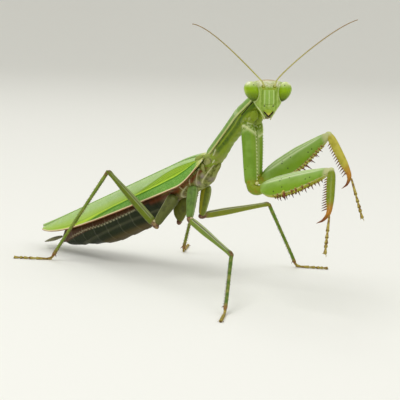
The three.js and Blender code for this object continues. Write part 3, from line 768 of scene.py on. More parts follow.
# the swellings the forelegs hang from, with the pale plates that hinge the coxae
for side in sides.values():
    for centre, radii, pale in [
        ((17.5, 1.25, -3.0), (2.6, 1.15, 1.5), 0.0), ((19.0, 1.0, -3.7), (1.7, 0.95, 1.2), 0.0),
        ((17.4, 1.2, -4.1), (1.5, 1.0, 1.0), 0.1), ((17.9, 2.0, -3.35), (0.7, 0.35, 0.42), 0.5),
        ((17.0, 2.0, -3.3), (0.6, 0.35, 0.45), 0.45), ((18.5, 1.85, -3.9), (0.6, 0.35, 0.35), 0.4),
    ]:
        swelling = lump(prothorax, (centre[0], side * centre[1], centre[2]), radii, mark=0.55 * pale)
        swelling["about"][:, 2] = 0
        prothorax_parts.append(swelling)

neck_count = 90
neck_points = bent(prothorax @ Vector((20.4, 0, -1.85)), prothorax @ Vector((23.2, 0, -1.7)),
                   head @ Vector((-0.8, 0, 0.4)), neck_count)
neck_wrinkles = 0.05 * np.sin(np.linspace(0, 15 * math.pi, neck_count))
neck_girth = np.interp(np.linspace(0, 1, neck_count), [0, 0.4, 0.75, 1], [1.15, 1.35, 1.25, 1.0])
neck = tube(neck_points, neck_girth + neck_wrinkles, across=36)
neck["about"][:, 2] = 0
prothorax_parts.append(neck)
build("prothorax_skin", prothorax_parts, [prothorax_green], ["prosternum", "neck"])

# ---- pronotum ----
# The long shield over the prothorax: a thin roof with a low keel, widest over the foreleg bases,
# where a furrow crosses it. Its cream margins carry a row of fine teeth.
shield = Paint("pronotum_green", (132, 166, 84), roughness=0.45)
along, above_margin = shield.part(shield.own, "X"), shield.part(shield.about, "Z")
shield.coat(shield.blotches(0.8, 0.4, 0.7), (116, 152, 70), 0.8)
shield.coat(shield.blotches(3.0, 0.55, 0.62), (100, 140, 54), 0.5)
shield.coat(shield.step(above_margin, 0.9, 1.45), (166, 192, 130), 0.8)
shield.coat(shield.step(maths(shield.tree, "ABSOLUTE", shield.part(shield.about, "Y")), 0.2, 0.02),
            (206, 206, 162), 0.5)
shield.coat(shield.both(shield.step(along, 15.0, 15.8), shield.step(along, 17.4, 16.6)),
            (196, 216, 160), 0.5)
shield.coat(shield.step(above_margin, 0.42, 0.3), (204, 210, 138), 0.85)
shield.coat(shield.both(shield.step(above_margin, 0.14, 0.06), shield.band(along, 3.0, 11.0, 2.0)),
            (176, 112, 50), 0.6)
shield.coat(shield.mark, (150, 170, 100), 0.5)
shield.grain(5.0, 0.035)
shield.grain(18.0, 0.012)
pronotum_green = shield.done()

pronotum_rows = [
    [-0.75, 0.6, -0.45, -1.0], [-0.4, 1.2, -0.1, -1.25], [1.0, 1.62, 0.15, -1.35], [4.0, 1.55, 0.3, -1.3],
    [7.6, 1.5, 0.4, -1.15], [13.5, 1.75, 0.55, -1.05], [16.6, 2.4, 0.5, -1.4], [18.7, 2.2, 0.25, -1.55],
    [20.9, 1.8, 0.05, -1.6], [21.7, 1.3, -0.15, -1.35], [21.95, 0.6, -0.5, -1.0],
]
count, across = 280, 80
rows = smooth_rows(pronotum_rows, count)
angle = np.arange(across) * 2 * math.pi / across
c, s = np.cos(angle), np.sin(angle)
rings = np.zeros((count, across, 3))
rings[..., 0] = rows[:, :1]
rings[..., 1] = rows[:, 1:2] * np.sign(c) * np.abs(c) ** 0.66
rise = np.maximum(s, 0) ** 0.66
rings[..., 2] = rows[:, 3:4] + (rows[:, 2:3] - rows[:, 3:4]) * rise - 0.1 * np.maximum(-s, 0)
above = (rows[:, 2:3] - rows[:, 3:4]) * rise
keel = 0.1 * ridge(rings[..., 1], 0.16) * (s > 0)
furrow = ridge(rings[..., 0] - 16.2 - 0.25 * np.abs(rings[..., 1]), 0.32) * (s > 0) * ramp(above, 0.5, 1.3)
lip = 0.03 * ridge(above - 0.14, 0.14) * (s > 0) * np.sign(c)
rings[..., 1] += lip
rings[..., 2] += keel - 0.16 * furrow
shield_about = np.stack([np.linspace(0, 1, count)[:, None] + 0 * above, c + 0 * above, above], 2)
shield_parts = [skin(rings, prothorax, about=shield_about, mark=furrow)]


def spike(foot, direction, length, radius, bend=Vector(), across=8, count=9, material=0):
    """A hollow-sided thorn that tapers to a point, drawn over by bend on its way."""
    foot, direction = Vector(foot), Vector(direction).normalized()
    tip = foot + direction * length + bend
    share = np.linspace(0, 1, count)
    return tube(bent(foot, foot + direction * length * 0.55, tip, count),
                radius * (1 - share) ** 0.8 + 0.012, across=across, material=material)


tooth_rows = smooth_rows(pronotum_rows, 100)[6:-4]
for row in tooth_rows:
    for side in (-1, 1):
        foot = prothorax @ Vector((row[0], side * (row[1] - 0.02), row[3] + 0.03))
        out = (prothorax.to_3x3() @ Vector((0.3, side, -0.25))).normalized()
        tooth = spike(foot, out, 0.13, 0.06, across=6, count=5)
        tooth["about"][:, 1:] = (1, 0.2)
        shield_parts.append(tooth)
build("pronotum_shield", shield_parts, [pronotum_green], ["pronotum"])

# ---- head capsule ----
# A hard three-cornered capsule: flat vertex above, frontal shield between the eyes, cheeks running
# down to the jaws. Plates are raised out of one shell; its own place is (forward, left, up).
face = Paint("head_green", (160, 188, 84), roughness=0.4, glow=0.15)
forward, lateral, up = (face.part(face.own, axis) for axis in "XYZ")
wide = maths(face.tree, "ABSOLUTE", lateral)
front = face.step(forward, 0.2, 0.8)
face.coat(face.blotches(1.3, 0.42, 0.62), (134, 164, 56), 0.8)
face.coat(face.both(front, face.band(wide, 1.3, 1.6, 0.12), face.band(up, -1.6, 1.4, 0.3)),
          (120, 150, 48), 0.75)
face.coat(face.both(front, face.band(wide, 1.75, 2.0, 0.1), face.band(up, -2.2, 1.2, 0.4)),
          (176, 202, 110), 0.6)
face.coat(face.both(front, face.band(wide, -0.1, 1.2, 0.06), face.band(up, -1.35, 1.62, 0.1)),
          (152, 186, 84), 0.85)
for at in (-0.95, 0.0, 0.95):
    streak = face.band(lateral, at - 0.1, at + 0.1, 0.1)
    face.coat(face.both(front, streak, face.band(up, -1.9, 1.5, 0.2)), (206, 224, 156), 0.6)
for at in (0.3, 0.72):
    face.coat(face.both(front, face.band(wide, at - 0.05, at + 0.05, 0.08), face.band(up, -1.4, 1.4, 0.2)),
              (120, 158, 46), 0.45)
face.coat(face.both(front, face.specks(2.4, 0.2, 0.36)), (104, 130, 34), 0.6)
face.coat(face.both(face.step(up, 2.0, 2.5), face.step(wide, 3.2, 2.2)),
          (196, 200, 152), 0.9)
face.coat(face.both(face.step(up, 2.3, 2.6), face.blotches(1.6, 0.45, 0.6)), (226, 226, 200), 0.8)
face.coat(face.step(up, 3.45, 3.85), (176, 146, 122), 0.8)
face.coat(face.both(front, face.band(up, 1.66, 1.86, 0.06), face.band(wide, -0.1, 1.3, 0.1)),
          (140, 156, 10), 0.85)
face.coat(face.both(front, face.band(up, -1.52, -1.4, 0.05), face.band(wide, -0.1, 1.15, 0.1)),
          (120, 150, 46), 0.8)
for side in (-1, 1):
    face.coat(face.spot((1.55, side * 0.95, -1.8), 0.1, 0.14), (40, 40, 22), 0.9)
    face.coat(face.spot((1.62, side * 1.2, 2.2), 0.3, 0.35), (158, 172, 20), 0.9)
    face.coat(face.spot((1.5, side * 1.22, 2.55), 0.1, 0.12), (92, 96, 20), 0.85)
face.coat(face.step(up, -3.75, -4.1), (116, 100, 76), 0.85)
face.coat(face.mark, (214, 222, 160), 0.85)
face.coat(face.step(forward, -0.8, -1.4), (166, 190, 92), 0.7)
face.grain(5.0, 0.03)
face.grain(20.0, 0.01)
head_green = face.done()

eye_centre, eye_radii, eye_lean, eye_taper = (0.25, 3.44, 1.35), (1.98, 1.5, 2.2), 20, 0.16
head_rows = [
    [-4.36, 0.12, 0.3, -0.3], [-4.25, 0.55, 0.5, -0.7], [-3.6, 1.12, 0.78, -1.05], [-2.8, 1.7, 1.12, -1.3],
    [-2.0, 2.28, 1.4, -1.5], [-1.2, 2.8, 1.58, -1.7], [0.0, 3.05, 1.75, -1.95], [1.7, 3.15, 1.7, -2.05],
    [2.7, 3.4, 1.5, -1.9], [3.2, 3.35, 1.2, -1.6], [3.48, 3.0, 0.85, -1.25], [3.7, 2.3, 0.55, -0.95],
    [3.88, 1.3, 0.2, -0.65], [3.95, 0.45, -0.1, -0.4],
]
count, across = 200, 160
rows = smooth_rows(head_rows, count)
angle = np.arange(across) * 2 * math.pi / across
c, s = np.cos(angle), np.sin(angle)
squarish = 2 / 2.4
rings = np.zeros((count, across, 3))
rings[..., 1] = rows[:, 1:2] * np.sign(c) * np.abs(c) ** squarish
middle, half_depth = (rows[:, 2:3] + rows[:, 3:4]) / 2, (rows[:, 2:3] - rows[:, 3:4]) / 2
rings[..., 0] = middle + half_depth * np.sign(s) * np.abs(s) ** squarish
rings[..., 2] = rows[:, :1]
x, y, z = rings[..., 0].copy(), rings[..., 1].copy(), rings[..., 2].copy()
in_front = ramp(x, 0.2, 0.9)


def within(value, low, high, soft):
    return ramp(value, low - soft, low + soft) * (1 - ramp(value, high - soft, high + soft))


shield_plate = within(np.abs(y), -9, 1.2, 0.09) * within(z, -1.4, 1.66, 0.09)
clypeus = within(np.abs(y), -9, 1.15 - 0.12 * (z + 1.5), 0.1) * within(z, -2.6, -1.5, 0.08)
streaks = sum(ridge(y - at, 0.14) for at in (-0.95, 0, 0.95)) * within(z, -1.7, 1.5, 0.15)
cheek_grooves = ridge(np.abs(y) - 1.55 + 0.12 * z, 0.14) * within(z, -2.2, 1.8, 0.3)
sockets = ridge(np.hypot(np.abs(y) - 1.2, z - 2.28) - 0.42, 0.12)
socket_pits = ridge(np.hypot(np.abs(y) - 1.2, z - 2.28), 0.28)
brow = ridge(z - 2.95 - 0.2 * np.cos(y), 0.3) * within(np.abs(y), -9, 2.2, 0.3)
eye_turn = math.radians(eye_lean)
dy, dz = np.abs(y) - eye_centre[1], z - eye_centre[2]
ey = dy * math.cos(eye_turn) - dz * math.sin(eye_turn)
ez = dy * math.sin(eye_turn) + dz * math.cos(eye_turn)
ey = ey / (1 + eye_taper * ez / eye_radii[2])
ex = x - eye_centre[0]
eye_level = np.sqrt((ex / eye_radii[0]) ** 2 + (ey / eye_radii[1]) ** 2 + (ez / eye_radii[2]) ** 2)
orbit = ridge(eye_level - 1.06, 0.06) * (1 - ramp(z, 2.2, 2.8))
lift = in_front * (0.1 * shield_plate + 0.1 * clypeus + 0.05 * streaks - 0.1 * cheek_grooves + 0.12 * sockets
                   - 0.18 * socket_pits + 0.06 * brow) + 0.1 * orbit
nose = np.stack([np.sign(s) * np.abs(s) ** 0.7, 0.5 * c], -1) * np.ones((count, 1, 1))
rings[..., 0] += lift * nose[..., 0]
rings[..., 1] += lift * nose[..., 1]
head_mark = np.clip(0.7 * orbit * (np.abs(x) < 1.7) + 0.2 * in_front * sockets, 0, 1)
head_parts = [skin(rings[:, ::-1], head, mark=head_mark[:, ::-1])]

# three small eyes between the feelers, and the pale cheek edges that run down beside the jaws
for place in [(1.66, 0.0, 2.12), (1.55, 0.42, 2.62), (1.55, -0.42, 2.62)]:
    head_parts.append(lump(head, place, (0.14, 0.13, 0.15), mark=0.5))
for side in (-1, 1):
    edge = bent(head @ Vector((0.3, side * 2.95, -0.85)), head @ Vector((0.6, side * 1.75, -2.5)),
                head @ Vector((0.6, side * 0.62, -4.36)), 40)
    edge_girth = np.interp(np.linspace(0, 1, 40), [0, 0.2, 0.85, 1], [0.05, 0.12, 0.12, 0.07])
    head_parts.append(tube(edge, edge_girth, across=14, mark=1.0))
build("head_capsule", head_parts, [head_green], ["head"])

# ---- eyes ----
# Two smooth leaning ovals set on the corners of the head, glossy like wet glass. Their pale top is a painted
# reflection and the white spot a painted highlight; below they turn dark olive, each with the small dark
# point that a mantis eye shows.
for name, side in sides.items():
    gaze = Paint(f"eye_{name}_gloss", (140, 176, 14), roughness=0.28, glow=0.2, shine=0.2)
    up = gaze.part(gaze.own, "Z")
    # painted reflection: the pale whitish top of each eye stands in for the sky mirrored there
    gaze.coat(gaze.step(up, 1.9, 3.1), (206, 218, 150), 0.95)
    gaze.coat(gaze.step(up, 1.6, 0.1), (104, 130, 0), 0.95)
    gaze.coat(gaze.step(up, 0.2, -0.7), (58, 76, 0), 0.85)
    gaze.coat(gaze.spot((0.6, side * 4.75, 1.5), 0.3, 0.8), (168, 196, 40), 0.8)
    gaze.coat(gaze.spot((1.7, side * 3.35, 2.55), 0.13, 0.12), (44, 50, 18), 0.9)
    # painted highlight: a whitish spot at the upper outer side of each eye
    gaze.coat(gaze.spot((1.0, side * 4.3, 2.9), 0.25, 0.45), (236, 240, 214), 0.7)
    facets = gaze.tree.nodes.new("ShaderNodeTexVoronoi")
    facets.inputs["Scale"].default_value = 14
    feed(gaze.tree, facets.inputs["Vector"], gaze.own)
    gaze.raise_by(facets.outputs["Distance"], -0.008)
    glossy_with_painted_highlight = gaze.done()
    lean = Matrix.Rotation(math.radians(-eye_lean * side), 4, "X")
    to_head = Matrix.Translation((eye_centre[0], side * eye_centre[1], eye_centre[2])) @ lean
    globe = lump(Matrix(), (0, 0, 0), eye_radii, across=64, count=48)
    globe["own"][:, 1] *= 1 + eye_taper * globe["own"][:, 2] / eye_radii[2]
    globe["points"] = moved(head @ to_head, globe["own"])
    globe["own"] = moved(to_head, globe["own"])
    build(f"eye_{name}_globe", [globe], [glossy_with_painted_highlight], [f"eye_{name}"])

# ---- mouthparts ----
# The upper lip is a soft yellow-green tongue over two dark brown jaws; behind them hang the lower
# lip and two pairs of jointed palps.
lip = Paint("lip_yellow", (160, 184, 60), roughness=0.38, glow=0.2)
up = lip.part(lip.own, "Z")
lip.coat(lip.step(up, -3.05, -3.5), (214, 204, 84), 0.9)
lip.coat(lip.step(up, -3.72, -3.85), (96, 66, 34), 0.9)
lip.coat(lip.mark, (210, 206, 130), 0.8)
lip.grain(8.0, 0.02)
lip_yellow = lip.done()
jaw = Paint("jaw_brown", (46, 24, 12), roughness=0.3, shine=0.2)
jaw.coat(jaw.step(jaw.part(jaw.own, "X"), 0.3, 0.1), (110, 110, 30))
jaw.grain(9.0, 0.02)
jaw_brown = jaw.done()


def upright_loft(rows, count, across, power, place, material=0, mark=0.0):
    """A body stood on its end: each row is [height, half width, front, back]."""
    rows = smooth_rows(rows, count)
    angle = np.arange(across) * 2 * math.pi / across
    c, s = np.cos(angle), np.sin(angle)
    rings = np.zeros((count, across, 3))
    rings[..., 1] = rows[:, 1:2] * np.sign(c) * np.abs(c) ** (2 / power)
    middle, half = (rows[:, 2:3] + rows[:, 3:4]) / 2, (rows[:, 2:3] - rows[:, 3:4]) / 2
    rings[..., 0] = middle + half * np.sign(s) * np.abs(s) ** (2 / power)
    rings[..., 2] = rows[:, :1]
    return skin(rings[:, ::-1], place, material=material, mark=mark)


mouth_parts = [
    upright_loft([[-3.82, 0.06, 1.0, 0.6], [-3.74, 0.2, 1.12, 0.5], [-3.4, 0.56, 1.28, 0.3],
                  [-3.0, 0.86, 1.38, 0.2], [-2.6, 1.05, 1.42, 0.2], [-2.4, 0.95, 1.3, 0.1]],
                 50, 48, 2.3, head),
    upright_loft([[-4.42, 0.1, -0.2, -0.5], [-4.3, 0.35, 0.0, -0.75], [-3.6, 0.9, 0.1, -1.15],
                  [-2.6, 1.3, 0.2, -1.35]],
                 30, 40, 2.3, head),
]
for side in (-1, 1):
    blade = bent(head @ Vector((1.0, side * 1.08, -2.9)), head @ Vector((1.2, side * 0.62, -3.45)),
                 head @ Vector((1.0, side * 0.04, -3.98)), 30)
    blade_girth = np.interp(np.linspace(0, 1, 30), [0, 0.3, 0.8, 1], [0.09, 0.15, 0.17, 0.12])
    mouth_parts.append(tube(blade, blade_girth, across=20, material=1))
    for root, reach, drop in (((-0.5, 0.95, -3.6), 1.1, -0.8), ((-0.8, 0.4, -4.0), 0.6, -0.5)):
        foot = Vector((root[0], root[1] * side, root[2]))
        knee = foot + Vector((-0.2, side * 0.25, drop * 0.35))
        tip = foot + Vector((0.35, -side * 0.25, drop)) * reach
        share = np.linspace(0, 1, 28)
        knots = 0.11 + 0.03 * np.cos(share * 6 * math.pi)
        palp = [head @ Vector(p) for p in bent(foot, knee, tip, 28)]
        mouth_parts.append(tube(palp, knots, across=12, mark=0.7))
build("mouthparts_set", mouth_parts, [lip_yellow, jaw_brown], ["mouthparts"])

# ---- antennae ----
# Thread-like feelers from sockets beside the frontal shield: a stout first joint, a small second
# one, and a long lash of very short rings.
lash = Paint("feeler_brown", (170, 160, 84), roughness=0.45, shine=0.05)
share = lash.part(lash.about, "X")
lash.coat(lash.step(share, 0.25, 0.9), (140, 104, 66), 0.9)
lash.coat(lash.step(share, 0.25, 0.0), (196, 198, 122), 0.8)
lash.grain(10.0, 0.01)
feeler_brown = lash.done()
feeler_routes = {
    "right": [(1.9, -1.45, 3.3), (3.4, -5.24, 6.59), (8.2, -13.66, 14.11), (10.6, -17.79, 14.15)],
    "left": [(1.9, 1.5, 3.3), (2.6, 0.7, 3.75), (7.0, 11.98, 14.46), (10.3, 16.9, 15.79)],
}
for name, route in feeler_routes.items():
    a, b, c, d = (np.array(head @ Vector(p)) for p in route)
    t = np.linspace(0, 1, 360)[:, None]
    points = (1 - t) ** 3 * a + 3 * t * (1 - t) ** 2 * b + 3 * t**2 * (1 - t) * c + t**3 * d
    share = t[:, 0]
    girth = np.interp(share, [0, 0.03, 0.05, 0.2, 1], [0.17, 0.17, 0.15, 0.14, 0.08])
    girth = girth * (1 + 0.07 * np.cos(share * 150 * math.pi))
    socket = head @ Vector((1.6, sides[name] * 1.2, 2.28))
    base_route = bent(socket, head @ Vector((1.95, sides[name] * 1.2, 2.6)), points[4], 20)
    base_girth = np.interp(np.linspace(0, 1, 20), [0, 0.2, 0.75, 0.8, 0.95, 1],
                           [0.14, 0.21, 0.19, 0.15, 0.17, 0.15])
    base = tube(base_route, base_girth, across=16)
    base["about"][:, 0] = 0
    build(f"antenna_{name}_lash", [base, tube(points, girth, across=10)], [feeler_brown],
          [f"antenna_{name}"])

# ---- forelegs ----
# Each is a folding trap: a long coxa with a beaded front edge, a small trochanter, a deep flattened
# femur with thorns underneath, and a tibia that shuts against it. One skin covers coxa, trochanter
# and femur; the thorns are hard and stand in tubercles.
fore_femur_length, fore_tibia_length, fore_tarsus_length = 21.3, 11.0, 10.5


def limb_rings(length, rows, count, across, power=2.0, under=None):
    return oval_rings([[row[0] * length] + row[1:] for row in rows], count, across, power, under)


def edges(angle, degrees, width):
    """1 along the lengthwise edges at the given angles round a limb, 0 elsewhere."""
    apart = [np.abs((np.degrees(angle) - at + 180) % 360 - 180) for at in degrees]
    return np.clip(sum(ridge(a, width) for a in apart), 0, 1)[None, :]


def beads(place, rings, angle, degrees, spacing, size, mark=1.0):
    """A row of small bumps along one edge of a limb."""
    column = int(np.argmin(np.abs((np.degrees(angle) - degrees + 180) % 360 - 180)))
    line = rings[:, column]
    reach = np.concatenate([[0], np.cumsum(np.linalg.norm(np.diff(line, axis=0), axis=1))])
    row = []
    for at in np.arange(spacing, reach[-1] - spacing, spacing):
        centre = [np.interp(at, reach, line[:, axis]) for axis in range(3)]
        row.append(lump(place, centre, (size, size, size), across=10, count=7, mark=mark))
    return row


coxa_paint = Paint("coxa_green", (108, 144, 34), roughness=0.4, glow=0.18)
along, up = (coxa_paint.part(coxa_paint.own, axis) for axis in "XZ")
coxa_paint.coat(coxa_paint.blotches(0.5, 0.4, 0.68), (124, 158, 54), 0.8)
coxa_paint.coat(coxa_paint.step(up, 0.2, 1.2), (130, 160, 40), 0.6)
coxa_paint.coat(coxa_paint.step(along, 2.8, 1.2), (104, 126, 10), 0.9)
coxa_paint.coat(coxa_paint.both(coxa_paint.step(along, 3.4, 1.6),
                                coxa_paint.blotches(1.6, 0.5, 0.58)), (184, 196, 136), 0.8)
coxa_paint.coat(coxa_paint.step(along, 13.0, 15.2), (132, 150, 36), 0.8)
coxa_paint.coat(coxa_paint.mark, (216, 222, 164), 0.92)
coxa_paint.coat(coxa_paint.specks(1.0, 0.17, 0.34), (40, 54, 12), 0.8)
coxa_paint.grain(4.0, 0.04)
coxa_paint.grain(13.0, 0.015)
coxa_green = coxa_paint.done()

hinge_paint = Paint("trochanter_olive", (128, 146, 28), roughness=0.4, glow=0.15)
hinge_paint.coat(hinge_paint.blotches(1.0, 0.5, 0.66), (146, 120, 30), 0.6)
hinge_paint.coat(hinge_paint.mark, (226, 224, 164), 0.85)
hinge_paint.grain(6.0, 0.03)
trochanter_olive = hinge_paint.done()

femur_paint = Paint("femur_green", (124, 160, 48), roughness=0.36, glow=0.2, shine=0.2)
along, up = (femur_paint.part(femur_paint.own, axis) for axis in "XZ")
femur_paint.coat(femur_paint.blotches(0.4, 0.4, 0.68), (142, 176, 76), 0.8)
femur_paint.coat(femur_paint.step(up, -0.7, -2.0), (120, 158, 10), 0.85)
femur_paint.coat(femur_paint.step(up, -0.9, 1.0), (150, 186, 104), 0.85)
femur_paint.coat(femur_paint.step(femur_paint.part(femur_paint.about, "Z"), -0.88, -0.93),
                 (168, 168, 36), 0.9)
femur_paint.coat(femur_paint.mark, (218, 230, 184), 0.95)
femur_paint.coat(femur_paint.step(along, 19.2, 20.4), (194, 198, 136), 0.9)
femur_paint.coat(femur_paint.step(along, 3.6, 1.2), (130, 150, 32), 0.9)
femur_paint.coat(femur_paint.specks(0.8, 0.17, 0.36), (22, 30, 6), 0.92)
femur_paint.grain(4.0, 0.035)
femur_paint.grain(13.0, 0.012)
femur_green = femur_paint.done()

wart_paint = Paint("tubercle_yellow", (204, 198, 96), roughness=0.4, glow=0.15)
wart_paint.coat(wart_paint.blotches(2.0, 0.46, 0.54), (120, 84, 24), 0.8)
tubercle_yellow = wart_paint.done()


def foretibia_paint(name, base, low):
    """The finish of one fore tibia; the two differ a little in how far they have turned amber."""
    paint = Paint(name, base, roughness=0.38, glow=0.15, shine=0.2)
    along = paint.part(paint.own, "X")
    paint.coat(paint.blotches(0.9, 0.42, 0.66), low, 0.7)
    paint.coat(paint.step(along, 1.4, 0.4), (188, 190, 130), 0.9)
    paint.coat(paint.step(along, 8.0, 10.8), (182, 116, 34), 0.85)
    paint.coat(paint.step(along, 11.2, 13.0), (118, 62, 36), 0.9)
    paint.coat(paint.mark, (190, 158, 52), 0.8)
    paint.grain(6.0, 0.02)
    return paint.done()


thorn_paint = Paint("thorn_brown", (128, 74, 38), roughness=0.3, glow=0.05, shine=0.2)
thorn_paint.coat(thorn_paint.step(thorn_paint.part(thorn_paint.about, "X"), 0.1, 0.5), (106, 50, 28))
thorn_paint.coat(thorn_paint.step(thorn_paint.part(thorn_paint.about, "X"), 0.5, 0.9), (40, 20, 14))
thorn_brown = thorn_paint.done()

foot_paint = Paint("foot_brown", (170, 154, 72), roughness=0.42, glow=0.12)
foot_paint.coat(foot_paint.blotches(1.6, 0.46, 0.6), (118, 84, 36), 0.85)
foot_paint.coat(foot_paint.mark, (62, 42, 26), 0.95)
foot_paint.grain(8.0, 0.02)
foot_brown = foot_paint.done()

coxa_rows = [
    [0.0, 0.5, 0.6, -0.6], [0.02, 0.75, 0.9, -0.85], [0.07, 0.98, 1.3, -1.2], [0.16, 1.1, 1.5, -1.55],
    [0.45, 1.15, 1.2, -1.75], [0.7, 1.05, 0.85, -1.95], [0.86, 0.95, 0.6, -2.0], [0.93, 0.8, 0.5, -1.6],
    [0.97, 0.6, 0.4, -1.1], [0.985, 0.3, 0.2, -0.6],
]
femur_rows = [
    [0.02, 0.35, 0.4, -0.4], [0.05, 0.55, 0.7, -0.7], [0.08, 0.62, 0.85, -0.9], [0.13, 0.75, 1.3, -1.65],
    [0.22, 0.92, 1.65, -2.7], [0.34, 1.0, 1.88, -3.2], [0.54, 0.98, 1.92, -3.05], [0.7, 0.88, 1.65, -2.35],
    [0.85, 0.75, 1.3, -1.5], [0.94, 0.7, 1.08, -0.9], [0.98, 0.58, 0.85, -0.4], [1.01, 0.25, 0.45, 0.0],
]
fore_coxa_edge = {"right": Vector((1, 0.5, 0)), "left": Vector((1, -0.9, 0))}
foretibia_tints = {"right": ((122, 136, 16), (106, 124, 8)), "left": ((188, 178, 70), (162, 152, 42))}
tarsus_joints = [0.0, 0.42, 0.6, 0.74, 0.84, 1.0]
for name, side in sides.items():
    aims = {part: heading(*angles) for part, angles in fore_pose[name].items()}
    hip = fore_hip(prothorax, name)
    knee = hip + aims["femur"] * fore_femur_length
    ankle = knee + aims["tibia"] * fore_tibia_length
    coxa = lying(hip - aims["coxa"] * fore_coxa_length, aims["coxa"], fore_coxa_edge[name])
    femur = lying(hip, aims["femur"], -aims["tibia"])
    tibia = lying(knee, aims["tibia"], aims["femur"])
    tarsus = lying(ankle, aims["tarsus"], aims["femur"])
    femur_turn, tibia_turn = femur.to_3x3(), tibia.to_3x3()

    rings, angle = limb_rings(fore_coxa_length, coxa_rows, 160, 72, power=2.7)
    share = np.linspace(0, 1, 160)[:, None]
    middle = ramp(share, 0.08, 0.2) * (1 - ramp(share, 0.82, 0.95))
    keels = edges(angle, (90,), 9) * middle
    outer_face = side * rings[..., 1] > 0
    slanted = rings[..., 0] - 0.95 * rings[..., 2]
    clear_of_socket = ramp(rings[..., 0], 0.6, 1.3)
    collar = ridge(slanted - 2.0, 0.42) * outer_face * clear_of_socket
    under_collar = ridge(slanted - 1.25, 0.3) * outer_face * clear_of_socket
    flutes = edges(angle, (62, 118), 11) * middle
    raised(rings, angle, 0.1 * keels - 0.08 * flutes + 0.16 * collar - 0.1 * under_collar)
    coxa_mark = np.clip(0.3 * keels + 0.8 * collar, 0, 1)
    leg_parts = [skin(rings, coxa, mark=coxa_mark)]
    leg_parts += beads(coxa, rings, angle, 90 if side < 0 else 0, 0.78, 0.18)[3:]

    bend = bent(coxa @ Vector((14.0, 0, -0.6)), hip + aims["coxa"] * 1.1 - aims["femur"] * 0.8,
                femur @ Vector((3.4, 0, -0.25)), 34)
    leg_parts.append(tube(bend, np.interp(np.linspace(0, 1, 34), [0, 0.3, 0.7, 1], [1.15, 1.3, 1.0, 0.55]),
                          across=40, material=1))
    for spot_x, spot_z, size in ((-0.1, 0.35, 0.55), (1.2, 0.75, 0.4)):
        leg_parts.append(lump(femur, (spot_x, -0.95, spot_z), (size, 0.35, size), material=1, mark=0.8))

    rings, angle = limb_rings(fore_femur_length, femur_rows, 220, 84, power=2.2, under=2.7)
    share = np.linspace(0, 1, 220)[:, None]
    middle = ramp(share, 0.08, 0.25) * (1 - ramp(share, 0.8, 0.97))
    keels = edges(angle, (22, 40, 62, 118, 140, 158), 6) * middle
    margins = edges(angle, (-66, -114), 5) * middle * (0.25 + 0.75 * ramp(share, 0.28, 0.4))
    raised(rings, angle, 0.1 * keels + 0.12 * margins - 0.07 * edges(angle, (51, 129), 5) * middle)
    leg_parts.append(skin(rings, femur, material=2, mark=np.clip(0.9 * keels + 0.75 * margins, 0, 1)))
    for lobe in (-1, 1):
        leg_parts.append(lump(femur, (20.4, lobe * 0.46, 0.0), (1.1, 0.28, 0.72), material=2, mark=0.25))
        for bead in beads(femur, rings, angle, -90 + lobe * 22, 0.62, 0.18)[10:-3]:
            bead["material"] = 3
            leg_parts.append(bead)
    leg_parts.append(lump(femur, (21.0, 0.0, 0.1), (1.05, 0.58, 0.92), material=2, mark=0.2))

    stations, depths = [row[0] for row in femur_rows], [row[3] for row in femur_rows]
    thorns = []
    outer_row = [
        (0.37, side * 0.42, 1.0, 0.18), (0.45, side * 0.44, 2.8, 0.34), (0.55, side * 0.42, 1.6, 0.2),
        (0.6, side * 0.44, 2.0, 0.22), (0.68, side * 0.4, 1.4, 0.18), (0.76, side * 0.36, 1.1, 0.15),
    ]
    inner_row = [(0.36 + 0.04 * k, -side * 0.4, 0.8 if k % 2 else 1.4, 0.16) for k in range(14)]
    between_lengths = (1.1, 1.6, 1.3, 0.9)
    between_rows = [(0.31 + 0.035 * k, side * 0.05, long, 0.17) for k, long in enumerate(between_lengths)]
    for share, lateral, long, thick in outer_row + inner_row + between_rows:
        depth = float(np.interp(share, stations, depths))
        foot = femur @ Vector((share * fore_femur_length, lateral, 0.93 * depth))
        aim = femur_turn @ Vector((0.5, 0.35 * lateral, -1))
        wart_radii = [1.2 * thick + 0.08] * 3
        wart = lump(Matrix.Translation(foot), (0, 0, 0), wart_radii, across=14, count=10, material=3)
        leg_parts.append(wart)
        thorns.append(spike(foot, aim, long, thick, femur_turn @ Vector((0.12 * long, 0, 0)), across=12))
    build(f"foreleg_{name}_skin", leg_parts, [coxa_green, trochanter_olive, femur_green, tubercle_yellow],
          [f"forecoxa_{name}", f"foretrochanter_{name}", f"forefemur_{name}"])

